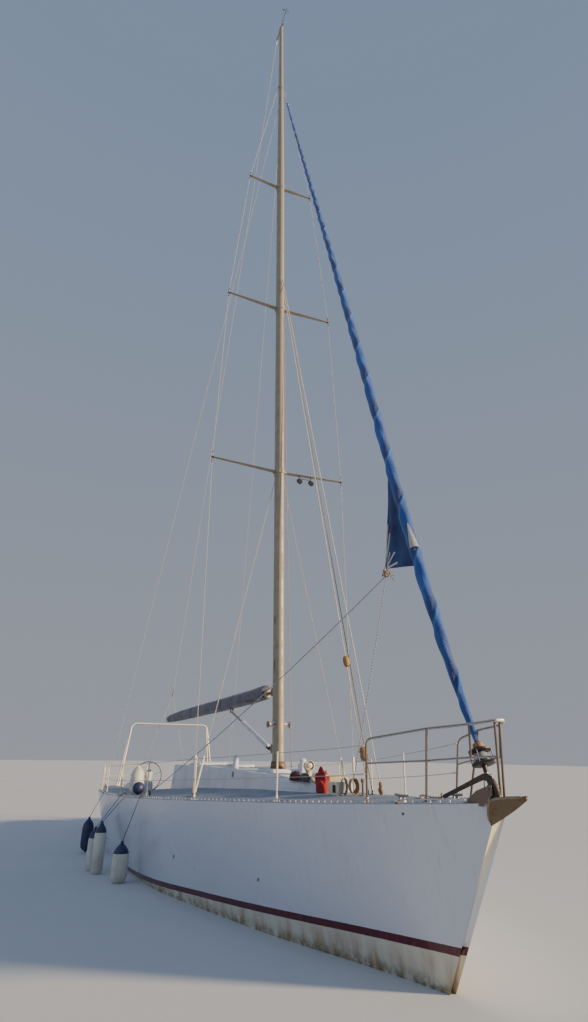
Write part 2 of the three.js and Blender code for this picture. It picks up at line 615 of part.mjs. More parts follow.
// The roll: distance up the stay, radius, and how far it hangs aft of the straight line
const roll = [[178, 34, 0], [420, 46, 18], [700, 57, 46], [1220, 70, 72], [1900, 82, 98], [3000, 85, 110],
  [4540, 85, 106], [7120, 86, 56], [10860, 76, 28], [16790, 57, 20], [19800, 46, 8], [20700, 36, 0]];
const sagDir = new Vector3(-stayDir.z, 0, stayDir.x); // aft of the stay and square to it
const hungFrom = (d, hang) => onStay(d).addScaledVector(sagDir, hang);
const rollLine = roll.map(([d, , hang]) => hungFrom(d, hang));
add('furled_genoa', tube(rollLine, roll.map(([, r]) => r), 12), blueCloth);
const rollNear = tube(rollLine, roll.map(([, r]) => r + seat), 12);

// Clew: the corner of the sail that stays outside the roll
const clew = at(803, 0, 4718);
const flapCorners = [hungFrom(4457, 106), clew, hungFrom(2480, 104)];
const flap = loft([-7, 7].map((y) => flapCorners.map((p) => new Vector3(p.x, y, p.z))));
add('genoa_clew', cut(flap, rollNear), navyCloth);

// Forestay above the roll, from the furler's top swivel to the mast
const staySocket = at(mastAft(houndsZ) - 70, 0, houndsZ);
const topSwivel = [tube([onStay(20700 + seat), onStay(20900), staySocket], 7, 6),
  rod(onStay(20700 + seat), onStay(20900), 34, 10)];
add('forestay_top', cut(joined(...topSwivel), nearMast), steel);

// Stem fitting: a plate on the stem head, the tang that holds the forestay, and the anchor's roller beside it
const rollerSide = 88;
const roller = { aft: -1035, z: 1925, radius: 34 };
const cheekOutline = [[-700, 1760], [-700, 1805], [-850, 1897], [-960, 1930], [-1085, 1962], [-1090, 1880],
  [-950, 1760]];
const cheek = (side) => loft([side - 5, side + 5].map((y) => cheekOutline.map(([aft, z]) => at(aft, y, z))));
const rollerAxle = [rollerSide - 46, rollerSide + 46].map((side) => at(roller.aft, side, roller.z));
const stemFitting = cut(joined(
  box(at(-1110, rollerSide + 46, 1790), at(-700, -60, 1819)),
  cheek(rollerSide - 42), cheek(rollerSide + 42), rod(...rollerAxle, roller.radius, 10),
  rod(onStay(-405), onStay(-130 - seat), 22, 8)), above, bareHull.translate([0, seat, 0]),
    bareHull.translate([0, -seat, 0]));
add('stem_fitting', stemFitting, steel);

// Anchor: the shank lies in the roller and bends down to a plough fluke ahead of the stem
const shankRows = [[-247, 1808, 18], [-600, 1921, 20], [-880, 2011, 24], [-960, 2025, 28], [-1045, 1990, 32],
  [-1108, 1880, 34], [-1125, 1740, 28], [-1128, 1672, 22]];
const shank = tube(shankRows.map(([aft, z]) => at(aft, rollerSide, z)),
  shankRows.map(([, , radius]) => radius), 6);
// Fluke sections: aft of the stem, height of the keel line, half width, height of the wings over it
const flukeRows = [[-975, 1592, 12, 18], [-1050, 1626, 90, 70], [-1170, 1680, 150, 135],
  [-1330, 1757, 110, 95],
  [-1500, 1848, 12, 16]];
const fluke = loft(flukeRows.map(([aft, z, half, rise]) =>
  [[0, 0], [1, rise], [0.6, rise + 16], [0, 30], [-0.6, rise + 16], [-1, rise]]
  .map(([u, up]) => at(aft, rollerSide + u * half, z + up))));
add('anchor', cut(joined(shank, fluke), stemFitting.translate([0, 0, seat]).add(stemFitting), above),
  galvanised);

// Standing rigging: straight runs from chainplate to spreader tips and hounds
const wire = 7;
const tipGap = 3;
const spreaderNear = spreaders.map(([, z, half]) => box(at(mastAft(z) - 60, -half - tipGap, z - 40),
  at(mastAft(z) + 60, half + tipGap, z + 110)));
function shrouds(sign) {
  const foot = at(chainplate.aft, sign * chainplate.side, 1500);
  const lowerFoot = at(chainplate.aft + 180, sign * (chainplate.side - 60), 1480);
  const lowerTop = at(mastAft(8180), sign * 60, 8180);
  const runs = [foot, ...tips.map((tip) => at(tip.aft, sign * (tip.half + 16), tip.z)),
    at(mastAft(houndsZ), sign * 60, houndsZ)];
  const screws = [rod(foot, foot.clone().lerp(runs[1], 0.055), 17, 6),
    rod(lowerFoot, lowerFoot.clone().lerp(lowerTop, 0.055), 16, 6)];
  const ends = tips.map((tip) => rod(at(tip.aft, sign * (tip.half + 16), tip.z - 30),
    at(tip.aft, sign * (tip.half + 16), tip.z + 30), 12, 6));
  const plate = loft([1480, deckZ(chainplate.aft, chainplate.side) + 60].map((z) =>
    [[-70, 14], [250, -46], [250, -76], [-70, -16]]
    .map(([aft, side]) => at(chainplate.aft + aft, sign * (chainplate.side + side), z))));
  return cut(joined(tube(runs, wire, 4), rod(lowerFoot, lowerTop, wire, 4), plate, ...screws, ...ends),
    nearMast, above,
    ...spreaderNear);
}
add('shrouds_stb', shrouds(1), steel);
add('shrouds_port', shrouds(-1), steel);

// Backstay to the stern, and running backstays to the quarters
const backTop = at(headAft + 430, 0, mastTopZ + 20);
const backFork = at(15630, 0, 4200);
const backLegs = [1, -1].flatMap((sign) => {
  const foot = at(16200, sign * 900, 1150);
  return [rod(foot, backFork, 7, 6), rod(foot, foot.clone().lerp(backFork, 0.1), 18, 6)];
});
const forkLink = rod(backFork.clone().add(new Vector3(0, 0, -60)),
  backFork.clone().add(new Vector3(0, 0, 60)), 26, 8);
add('backstay', cut(joined(rod(backTop, backFork, 7, 6), ...backLegs, forkLink), above, solid(crane),
  crane.translate([0, 0, -seat])),
  steel);
const runnerTop = 22900;
function runner(sign) {
  const foot = at(14900, sign * (sheerHalf(14900) - 190), 1150);
  const top = at(mastAft(runnerTop) + 30, sign * 30, runnerTop);
  const block = rod(foot, foot.clone().lerp(top, 0.02), 26, 8);
  return cut(joined(rod(foot, top, 6, 6), block), nearMast, above);
}
add('runner_stb', runner(1), steel);
add('runner_port', runner(-1), steel);

// Cockpit: coamings, winches, helm pedestals with wheels, mainsheet track
const coamingRows = [[10650, 1290, 1560, 1560], [12600, 1290, 1600, 1530], [13350, 1310, 1620, 1440],
  [13800, 1540, 1680, 1330]];
const coamingRing = (sign) => ([aft, inner, outer, top]) =>
  [at(aft, sign * inner, 1200), at(aft, sign * (inner + 20), top),
  at(aft, sign * (outer - 60), top), at(aft, sign * outer, 1200)];
const coamingTop = (aft) => {
  const k = Math.max(1, coamingRows.findIndex((row) => row[0] >= aft));
  const [a, b] = [coamingRows[k - 1], coamingRows[k]];
  return mix(a[3], b[3], (aft - a[0]) / (b[0] - a[0]));
};
const winchProfile = (scale) => [[0, 0], [95, 0], [95, 30], [70, 55], [62, 110], [72, 150], [84, 165],
  [84, 190], [40, 200], [0, 200]]
  .map(([r, z]) => [r * scale, z * scale]);
for (const [label, sign] of [['stb', 1], ['port', -1]]) {
  const wall = loft(coamingRows.map(coamingRing(sign)));
  const winchAt = (aft, scale, sink) =>
    turned(winchProfile(scale), 12).translate(...at(aft, sign * 1430, coamingTop(aft) - sink));
  add(`coaming_${label}`, cut(joined(wall, winchAt(11350, 0.8, 10)), hullAbove), deckWhite);
  add(`primary_winch_${label}`, cut(winchAt(12350, 1, 10), solid(wall).translate([0, 0, seat])), steel);
}

const helm = { aft: 14500, side: 800, hubZ: 1560, radius: 430 };
for (const [label, sign] of [['stb', 1], ['port', -1]]) {
  const foot = (z, w, l) => [[-1, -1], [1, -1], [1, 1], [-1, 1]]
    .map(([u, v]) => at(helm.aft - 150 + u * l, sign * helm.side + v * w, z));
  const column = loft([foot(helmFloor + seat, 130, 120), foot(1500, 80, 80), foot(1640, 110, 80),
    foot(1700, 100, 60)]);
  const axle = rod(at(helm.aft - 75, sign * helm.side, helm.hubZ),
    at(helm.aft - 20, sign * helm.side, helm.hubZ), 18, 12);
  add(`helm_pedestal_${label}`, joined(column, axle), white);
  const wheel = new THREE.Group();
  wheel.position.copy(at(helm.aft, sign * helm.side, helm.hubZ));
  wheel.rotation.y = Math.PI / 2;
  yacht.add(wheel);
  const rim = new THREE.TorusGeometry(helm.radius, 14, 5, 25);
  const spokes = [0, 1, 2, 3, 4].map((k) => {
    const tip = new Vector3(Math.cos(k * 72 * deg), Math.sin(k * 72 * deg), 0).multiplyScalar(helm.radius);
    return rod(new Vector3(), tip, 8, 4);
  });
  const hub = turned([[0, -19], [45, -19], [45, 35], [0, 35]], 12);
  const socket = rod(new Vector3(0, 0, 20 - seat), new Vector3(0, 0, 200), bore(18, 12), 12);
  add(`wheel_${label}`, cut(joined(rim, hub, ...spokes), socket), steel, wheel);
}
add('mainsheet_track', box(at(13540, 1290, helmFloor + seat), at(13620, -1290, helmFloor + 50)), alloy);

// Swivel fittings on the mast for the boom and its vang, then boom, cover and vang turned together
const swing = new THREE.Group();
swing.position.copy(at(goose.aft, 0, goose.z));
swing.rotation.set(0, -rake, boomYaw, 'YZX');
yacht.add(swing);
const pinRadius = 12;
// Fixed forks on the mast, drawn in world axes: two plates and the pin through them
function fork(level) {
  const middle = new Vector3(0, 0, level).applyMatrix4(new THREE.Matrix4().makeRotationY(-rake))
    .add(swing.position);
  const lean = new Vector3(-Math.sin(rake), 0, Math.cos(rake));
  const plate = (d) => {
    const centre = middle.clone().addScaledVector(lean, d);
    return box(new Vector3(centre.x - 26, -32, centre.z - 6), new Vector3(centre.x + 330, 32, centre.z + 6));
  };
  const pin = rod(middle.clone().addScaledVector(lean, -62), middle.clone().addScaledVector(lean, 62),
    pinRadius, 10);
  const back = box(new Vector3(middle.x + 40, -40, middle.z - 80),
    new Vector3(middle.x + 330, 40, middle.z + 80));
  const face = mastAft(middle.z) + mastChord / 2;
  const keep = cut(back, box(at(face + 14, 100, middle.z - 200), at(7000, -100, middle.z + 200)));
  return joined(plate(-48), plate(48), pin, keep);
}
add('mast', joined(mastBody(0), mastWinch(1), mastWinch(-1), fork(0), fork(-vangDrop)), alloy);

// Toggles: a barrel round the pin, and a cross pin aft of it that the boom or the vang hangs on
const crossAt = 62;
const crossRadius = 10;
function toggle() {
  const barrelPart = rod(new Vector3(0, 0, -40), new Vector3(0, 0, 40), 30, 10);
  const tongue = box(new Vector3(-crossAt - 16, -14, -16), new Vector3(0, 14, 16));
  const cross = rod(new Vector3(-crossAt, -44, 0), new Vector3(-crossAt, 44, 0), crossRadius, 10);
  return cut(joined(barrelPart, tongue, cross),
    rod(new Vector3(0, 0, -80), new Vector3(0, 0, 80), bore(pinRadius, 10), 10));
}
add('gooseneck_toggle', toggle(), steel, swing);
const vangToggle = add('vang_toggle', toggle(), steel, swing);
vangToggle.position.z = -vangDrop;

// Boom in its own axes: x aft along the boom is -X, pitched up a little from the cross pin
const boomFrame = new THREE.Group();
boomFrame.position.x = -crossAt;
boomFrame.rotation.y = boomRise;
swing.add(boomFrame);
const boomHalf = { wide: 62, high: 84 };
const boomRing = (x, grow = 0) => Array.from({ length: 14 }, (_, i) => {
  const turn = (2 * Math.PI * i) / 14;
  return new Vector3(-x, Math.cos(turn) * (boomHalf.wide + grow), Math.sin(turn) * (boomHalf.high + grow));
});
const cheeks = (half, reach) => [-1, 1].map((sign) =>
  box(new Vector3(-reach, sign * 20, -22), new Vector3(22, sign * half, 22)));
const crossHole = rod(new Vector3(0, -90, 0), new Vector3(0, 90, 0), bore(crossRadius, 10), 10);
const eyePinRadius = 10;
const eyeClearance = 9; // the linkage is opened here, so the eye may wander round its pin
const vangEye = { x: vangReach - crossAt, z: -195 };
const lug = [-1, 1].map((sign) => box(new Vector3(-vangEye.x - 45, sign * 18, vangEye.z - 25),
  new Vector3(-vangEye.x + 45, sign * 32, -60)));
const eyePin = rod(new Vector3(-vangEye.x, -32, vangEye.z), new Vector3(-vangEye.x, 32, vangEye.z),
  eyePinRadius, 12);
const boomTube = loft([boomRing(70), boomRing(boomLength - 100), boomRing(boomLength)]);
add('boom', cut(joined(boomTube, ...cheeks(44, 90), ...lug, eyePin), crossHole), alloy, boomFrame);

// Sail cover wrapped round boom and sail.
// Columns: distance along the boom, half width, top above the boom's axis, depth below it.
const coverRows = [
  [200, 112, 182, 104], [900, 114, 168, 126], [2600, 106, 158, 138], [4500, 98, 154, 134],
  [6000, 90, 144, 132], [6900, 84, 112, 106], [7150, 82, 100, 100],
];
const coverRing = ([x, half, top, deep]) => [
  [0.45, -deep], [0.9, -0.6 * deep], [1, 0.1 * top], [0.86, 0.62 * top], [0.5, 0.92 * top], [0, top],
  [-0.5, 0.92 * top], [-0.86, 0.62 * top], [-1, 0.1 * top], [-0.9, -0.6 * deep], [-0.45, -deep],
].map(([u, z]) => new Vector3(-x, u * half, z));
const channel = joined(loft([boomRing(60, seat), boomRing(boomLength + 200, seat)]),
  box(new Vector3(-vangEye.x - 55, -40, -300), new Vector3(-vangEye.x + 55, 40, 0)));
add('sail_cover', cut(loft(coverRows.map(coverRing)), channel), greyCloth, boomFrame);

// Vang: lower tube on its toggle, rod sliding out of it to the boom's lug
boomFrame.updateMatrix();
const eyeInSwing = new Vector3(-vangEye.x, 0, vangEye.z).applyMatrix4(boomFrame.matrix);
const vangFoot = new Vector3(-crossAt, 0, -vangDrop);
const vangDir = eyeInSwing.clone().sub(vangFoot);
const vangLength = vangDir.length();
const vang = new THREE.Group();
vang.position.copy(vangFoot);
vang.rotation.y = Math.atan2(vangDir.z, -vangDir.x);
swing.add(vang);
const tubeEnd = 0.68 * vangLength;
const vangHead = [-1, 1].map((sign) => box(new Vector3(-120, sign * 20, -20),
  new Vector3(22, sign * 44, 20)));
const vangBarrel = rod(new Vector3(-110, 0, 0), new Vector3(-tubeEnd, 0, 0), 45, 16);
const rodBore = rod(new Vector3(-tubeEnd + 1000, 0, 0), new Vector3(-tubeEnd - 50, 0, 0), 30 + seat, 12);
add('vang_tube', cut(joined(...vangHead, vangBarrel), crossHole, rodBore), steel, vang);
const eyeHole = rod(new Vector3(-vangLength, -40, 0), new Vector3(-vangLength, 40, 0),
  eyePinRadius + eyeClearance, 16);
const rodEye = rod(new Vector3(-vangLength, -12, 0), new Vector3(-vangLength, 12, 0), 34, 18);
const thickRod = rod(new Vector3(-tubeEnd + 600, 0, 0), new Vector3(-vangLength + 60, 0, 0), 30, 12);
const thinRod = rod(new Vector3(-vangLength + 80, 0, 0), new Vector3(-vangLength + 20, 0, 0), 12, 10);
add('vang_rod', cut(joined(thickRod, thinRod, rodEye), eyeHole), steel, vang);

// Fenders on the starboard quarter and one stowed on the side deck.
// Columns: aft of the stem, length, radius, height of the top, how far it floats off the hull's side.
const fenders = [
  ['fender_aft', 10600, 760, 135, 780, 150, navyCloth],
  ['fender_quarter', 8230, 850, 115, 790, 350, cream],
  ['fender_mid', 7780, 990, 118, 935, 320, cream],
  ['fender_fore', 6750, 740, 150, 685, 110, cream],
];
for (const [name, aft, length, radius, top, off, material] of fenders) {
  const side = sheerHalf(aft) + radius + off;
  const body = turned([[0, -length], [radius * 0.4, -length], [radius * 0.8, -length + 70],
    [radius, -length + 170], [radius, -170],
    [radius * 0.8, -70], [radius * 0.35, 0], [0, 0]], 10).translate(...at(aft, side, top));
  const line = tube([[side, top - 30], [sheerHalf(aft) + 10, sheerZ(aft) + 50],
    [sheerHalf(aft) - 20, sheerZ(aft) + 57],
    [sheerHalf(aft) - 46, sheerZ(aft) + 20]].map(([out, z]) => at(aft, out, z)), 7, 6);
  add(name, cut(joined(body, line), above, railStb, railStb.translate([0, 0, seat])), material);
}
const stowed = turned([[0, -300], [120, -300], [150, -180], [150, 60], [120, 190], [40, 300], [0, 300]], 12)
  .translate(...at(8400, sheerHalf(8400) - 330, deckZ(8400, sheerHalf(8400) - 330) + 300));
add('fender_stowed', cut(stowed, above), cream);

// Sail bag on the foredeck
const bagRows = [[2310, 35, 1850], [2350, 75, 1940], [2420, 92, 2010], [2500, 80, 1975], [2565, 45, 1890]];
const bagRing = ([aft, half, top]) => Array.from({ length: 10 }, (_, i) => {
  const turn = (2 * Math.PI * i) / 10;
  return at(aft, 290 + Math.cos(turn) * half, Math.max(1690 + (top - 1690) * (0.5 + 0.5 * Math.sin(turn)),
    1640));
});
add('sail_bag', cut(loft(bagRows.map(bagRing)), above), redCloth);

export default yacht;
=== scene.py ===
# Sailing yacht afloat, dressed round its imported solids. Metres, +X to the bow, +Y to port, +Z over the water.
import math
import bpy
import numpy as np
from mathutils import Matrix


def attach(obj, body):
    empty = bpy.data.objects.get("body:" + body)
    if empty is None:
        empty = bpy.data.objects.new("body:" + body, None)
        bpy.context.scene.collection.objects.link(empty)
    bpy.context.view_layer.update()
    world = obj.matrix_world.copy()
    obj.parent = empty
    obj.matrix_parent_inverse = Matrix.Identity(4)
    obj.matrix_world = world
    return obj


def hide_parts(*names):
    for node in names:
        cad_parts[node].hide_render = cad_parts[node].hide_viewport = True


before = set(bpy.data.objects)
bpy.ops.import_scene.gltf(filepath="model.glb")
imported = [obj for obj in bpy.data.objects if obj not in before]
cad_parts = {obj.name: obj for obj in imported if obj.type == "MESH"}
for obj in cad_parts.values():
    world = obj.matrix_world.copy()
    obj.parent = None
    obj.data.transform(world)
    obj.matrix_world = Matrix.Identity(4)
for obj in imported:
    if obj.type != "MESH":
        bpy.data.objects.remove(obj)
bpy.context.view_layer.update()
print("frame loaded,", len(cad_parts), "solids")

# Places. Most are given as metres aft of the stem at the waterline, to starboard of the centreline, and up.
stemX = 8.7
rake = math.radians(2.45)                      # the mast leans aft
mastFootAft, mastFootZ, mastTopZ, taperZ = 4.99, 2.0, 28.0, 18.6
gooseAft, gooseZ = 5.41, 3.39                  # boom pin
boomYaw, boomRise = math.radians(5), math.radians(1.05)
vangDrop, crossAt = 1.06, 0.062
bothSides = ((1, "stb"), (-1, "port"))         # the sign turns a distance to starboard into one to port


def at(aft, side, z):
    # x = stem less aft, y = minus side, z = z
    aft, side, z = np.broadcast_arrays(aft, side, z)
    return np.stack([stemX - aft, -side, z], -1).astype(float)


def unit(v):
    # v divided by its length
    return v / np.linalg.norm(v, axis=-1, keepdims=True)


def curve(points, count):
    # cubic through every point whose slope at a point is half the step between its neighbours
    p = np.asarray(points, float)
    p = np.concatenate([p[:1], p, p[-1:]])
    u = np.linspace(0, len(p) - 3, count)
    k = np.minimum(u.astype(int), len(p) - 4)
    s = (u - k).reshape(-1, *[1] * (p.ndim - 1))
    a, b, c, d = (p[k + i] for i in range(4))
    return b + 0.5 * s * (c - a + s * (2 * a - 5 * b + 4 * c - d + s * (3 * (b - c) + d - a)))


def bent(corners, radius, pieces=7):
    # straight runs whose corners are rounded by (1-s)^2 before + 2s(1-s) corner + s^2 after
    c = np.asarray(corners, float)
    before = c[1:-1] + unit(c[:-2] - c[1:-1]) * radius
    after = c[1:-1] + unit(c[2:] - c[1:-1]) * radius
    s = np.linspace(0, 1, pieces)[None, :, None]
    bends = (1 - s) ** 2 * before[:, None] + 2 * s * (1 - s) * c[1:-1, None] + s ** 2 * after[:, None]
    return np.vstack([c[:1], bends.reshape(-1, 3), c[-1:]])


def hanging(a, b, sag, count=24):
    # straight line from a to b, lowered by 4 sag s (1-s)
    s = np.linspace(0, 1, count)[:, None]
    a, b = np.asarray(a, float), np.asarray(b, float)
    return a * (1 - s) + b * s - np.array([0, 0, 4 * sag]) * s * (1 - s)


def spread(a, b, count):
    # count points evenly from a to b
    return np.linspace(np.asarray(a, float), np.asarray(b, float), count)


def circle(count):
    # count angles evenly round one turn
    return np.linspace(0, 2 * math.pi, count, endpoint=False)


def squared(v, power):
    # sign(v) |v|^power, which with a power under one squares a circle off
    return np.sign(v) * np.abs(v) ** power


def frameOf(axis):
    # two directions square to an axis and to each other
    axis = unit(np.asarray(axis, float))
    guide = np.eye(3)[np.abs(axis).argmin()]
    side = unit(np.cross(guide, axis))
    return side, np.cross(axis, side), axis


# Shapes. A shape is vertices, the corner list of all its faces, each face's corner count, a UV for each
# corner and a material number for each face.
def shapeOf(v, idx, cnt, uv=None, mat=0):
    cnt = np.asarray(cnt, int)
    idx = np.asarray(idx, int)
    uv = np.zeros((len(idx), 2)) if uv is None else uv
    return {"v": np.asarray(v, float), "idx": idx, "cnt": cnt, "uv": uv,
        "mat": np.broadcast_to(mat, cnt.shape)}


def turnedOut(shape):
    # the sum of first x this x next over all corners is six times the volume: a negative one means inside out
    cnt, idx, v = shape["cnt"], shape["idx"], shape["v"]
    start = np.repeat(np.cumsum(cnt) - cnt, cnt)
    count = np.repeat(cnt, cnt)
    place = np.arange(len(idx)) - start
    after = idx[start + (place + 1) % count]
    middle = v.mean(0)
    total = np.einsum("ij,ij->", v[idx[start]] - middle, np.cross(v[idx] - middle, v[after] - middle))
    if total < 0:
        swap = start + count - 1 - place
        return {**shape, "idx": idx[swap], "uv": shape["uv"][swap]}
    return shape


def grid(points, closed=True, loop=False, caps=True, mat=0):
    # quads over points[row, column]; closed joins the last column to the first, loop the last row to the
    # first, and caps fans each end row about its middle. UV is metres along and round.
    points = np.asarray(points, float)
    n, m = points.shape[:2]
    i, j = np.arange(n if loop else n - 1)[:, None], np.arange(m if closed else m - 1)[None, :]
    i2, j2 = (i + 1) % n, (j + 1) % m
    quads = np.stack(np.broadcast_arrays(i * m + j, i2 * m + j, i2 * m + j2, i * m + j2), -1).reshape(-1, 4)
    along = np.append(0, np.cumsum(np.linalg.norm(np.roll(points, -1, 0) - points, axis=-1).mean(1)))
    rounding = np.append(0, np.cumsum(np.linalg.norm(np.roll(points, -1, 1) - points, axis=-1).mean(0)))
    corners = [(along[i], rounding[j]), (along[i + 1], rounding[j]), (along[i + 1], rounding[j + 1]),
        (along[i], rounding[j + 1])]
    uv = np.stack([np.stack(np.broadcast_arrays(a, b), -1) for a, b in corners], 2).reshape(-1, 2)
    v, idx, cnt = points.reshape(-1, 3), quads.ravel(), np.full(len(quads), 4)
    faceMat = np.broadcast_to(mat, (i.size, j.size)).ravel()
    if not caps or not closed or loop:
        return shapeOf(v, idx, cnt, uv, faceMat)
    k, k2 = np.arange(m), (np.arange(m) + 1) % m
    first = np.stack([np.full(m, n * m), k, k2], -1)
    last = np.stack([np.full(m, n * m + 1), (n - 1) * m + k2, (n - 1) * m + k], -1)
    v = np.vstack([v, points[0].mean(0), points[-1].mean(0)])
    idx = np.concatenate([idx, first.ravel(), last.ravel()])
    rim = np.stack([rounding[:m], rounding[:m], rounding[1:]], -1).ravel()
    fanUv = np.stack([np.tile([0, 0.02, 0.02], m), rim], -1)
    capMat = np.full(2 * m, np.ravel(mat)[0])
    return turnedOut(shapeOf(v, idx, np.append(cnt, np.full(2 * m, 3)), np.vstack([uv, fanUv, fanUv]),
        np.append(faceMat, capMat)))


def tube(path, radius, sides=12, loop=False, mat=0):
    # path + radius (cos a side + sin a up), where side and up are square to the path
    path = np.asarray(path, float)
    step = unit(np.roll(path, -1, 0) - np.roll(path, 1, 0) if loop else np.gradient(path, axis=0))
    guides = unit(np.array([[1, 0, 0], [0, 1, 0], [0, 0, 1], [1, 1, 0], [1, -1, 0], [1, 0, 1], [-1, 0, 1],
        [0, 1, 1], [0, 1, -1], [1, 1, 1], [1, -1, 1]], float))
    guide = guides[np.abs(guides @ step.T).max(1).argmin()]
    side = unit(np.cross(guide, step))
    up = np.cross(step, side)
    turn = circle(sides)[None, :, None]
    size = np.broadcast_to(radius, len(path))[:, None, None]
    return grid(path[:, None] + size * (np.cos(turn) * side[:, None] + np.sin(turn) * up[:, None]), loop=loop,
        mat=mat)


def rod(a, b, radius, sides=12, mat=0):
    # straight round bar from a to b
    return tube(np.array([a, b], float), radius, sides, mat=mat)


def spun(profile, origin=(0, 0, 0), axis=(0, 0, 1), sides=24, mat=0):
    # profile of (radius, height) turned: origin + height axis + radius (cos a side + sin a up)
    side, up, axis = frameOf(axis)
    r, h = np.array(profile, float).T[:, :, None, None]
    turn = circle(sides)[None, :, None]
    return grid(np.asarray(origin, float) + h * axis + r * (np.cos(turn) * side + np.sin(turn) * up), mat=mat)


def plate(outline, thickness, origin, across, up, mat=0):
    # outline of (x, y) given a thickness: origin + x across + y up, half the thickness to each side
    outline = np.asarray(outline, float)
    n = len(outline)
    across, up = unit(np.asarray(across, float)), unit(np.asarray(up, float))
    flat = np.asarray(origin, float) + outline[:, :1] * across + outline[:, 1:] * up
    out = np.cross(across, up) * thickness / 2
    k = np.arange(n)
    sides = np.stack([k, (k + 1) % n, (k + 1) % n + n, k + n], -1)
    idx = np.concatenate([k[::-1], k + n, sides.ravel()])
    uv = np.vstack([outline[::-1], outline, np.zeros((4 * n, 2))])
    return turnedOut(shapeOf(np.vstack([flat - out, flat + out]), idx, [n, n] + [4] * n, uv, mat))


def roundedRect(halfX, halfY, radius, pieces=5):
    # rectangle whose corners are arcs of a radius
    turn = np.linspace(0, math.pi / 2, pieces)
    arc = np.stack([np.cos(turn), np.sin(turn)], -1) * radius
    quarter = [arc + [halfX - radius, halfY - radius],
        arc[:, ::-1] * [-1, 1] + [radius - halfX, halfY - radius], -arc + [radius - halfX, radius - halfY],
        arc[:, ::-1] * [1, -1] + [halfX - radius, radius - halfY]]
    return np.vstack(quarter)


def stacked(aft, side, rows, mat=0):
    # outlines of (aft, side) about a place, laid one over the other at their heights
    return grid(np.stack([at(aft + outline[:, 0], side + outline[:, 1], z) for outline, z in rows]), mat=mat)


def block(low, high, corner=0.0, mat=0):
    # upright box between two corners, its plan corners rounded when asked
    low, high = np.minimum(low, high), np.maximum(low, high)
    half = (high - low) / 2
    square = np.array([[1, 1], [-1, 1], [-1, -1], [1, -1]]) * half[:2]
    outline = roundedRect(half[0], half[1], corner) if corner else square
    return plate(outline, high[2] - low[2], (low + high) / 2, (1, 0, 0), (0, 1, 0), mat)


def moved(shape, turn=np.eye(3), place=(0, 0, 0)):
    # v -> turn v + place
    return {**shape, "v": shape["v"] @ np.asarray(turn).T + np.asarray(place)}


def mirrored(shape):
    # y -> -y, with the faces turned back to point out
    return turnedOut({**shape, "v": shape["v"] * [1, -1, 1]})


def rotation(axis, angle):
    # turning matrix by Rodrigues' formula
    x, y, z = unit(np.asarray(axis, float))
    k = np.array([[0, -z, y], [z, 0, -x], [-y, x, 0]])
    return np.eye(3) + math.sin(angle) * k + (1 - math.cos(angle)) * (k @ k)


def meshOf(name, shapes, mats):
    # all the shapes' arrays, end to end, in one mesh with its materials
    first = np.cumsum([0] + [len(s["v"]) for s in shapes])
    v = np.vstack([s["v"] for s in shapes])
    idx = np.concatenate([s["idx"] + k for s, k in zip(shapes, first)])
    cnt = np.concatenate([s["cnt"] for s in shapes])
    mesh = bpy.data.meshes.new(name)
    mesh.vertices.add(len(v))
    mesh.loops.add(len(idx))
    mesh.polygons.add(len(cnt))
    mesh.vertices.foreach_set("co", v.astype(np.float32).ravel())
    mesh.loops.foreach_set("vertex_index", idx.astype(np.int32))
    mesh.polygons.foreach_set("loop_start", (np.cumsum(cnt) - cnt).astype(np.int32))
    mesh.polygons.foreach_set("material_index", np.concatenate([s["mat"] for s in shapes]).astype(np.int32))
    mesh.update(calc_edges=True)
    layer = mesh.uv_layers.new(name="UVMap")
    layer.data.foreach_set("uv", np.vstack([s["uv"] for s in shapes]).astype(np.float32).ravel())
    for mat in mats:
        mesh.materials.append(mat)
    return mesh


def placed(name, data):
    # a new object of the scene, at the origin
    obj = bpy.data.objects.new(name, data)
    bpy.context.scene.collection.objects.link(obj)
    return obj


def shade(mesh, angle):
    # smooth faces with an edge wherever two of them meet at more than the angle
    mesh.polygons.foreach_set("use_smooth", np.ones(len(mesh.polygons), bool))
    mesh.set_sharp_from_angle(angle=math.radians(angle))


triangleTotal = []


def piece(name, shapes, mats, body="hull", replaces=(), slot=None, angle=35, bevel=0.0, solidify=0.0):
    # one object of the yacht: its shapes, materials, the body it rides on and the solids it stands for
    shapes = shapes if isinstance(shapes, list) else [shapes]
    obj = placed(name, meshOf(name, shapes, mats if isinstance(mats, list) else [mats]))
    shade(obj.data, angle)
    if solidify:
        wall = obj.modifiers.new("wall", "SOLIDIFY")
        wall.thickness, wall.offset = solidify, 0
    if bevel:
        edge = obj.modifiers.new("edge", "BEVEL")
        edge.width, edge.segments, edge.limit_method, edge.angle_limit = bevel, 2, "ANGLE", math.radians(40)
    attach(obj, body)
    if replaces:
        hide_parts(*([replaces] if isinstance(replaces, str) else replaces))
    triangleTotal.append(int((np.concatenate([s["cnt"] for s in shapes]) - 2).sum()))
    return obj


def dressed(node, shapes, mats, slot, body="hull", **more):
    # the piece that stands for one solid and is named after it
    return piece(node + "_fine", shapes, mats, body, node, slot, **more)


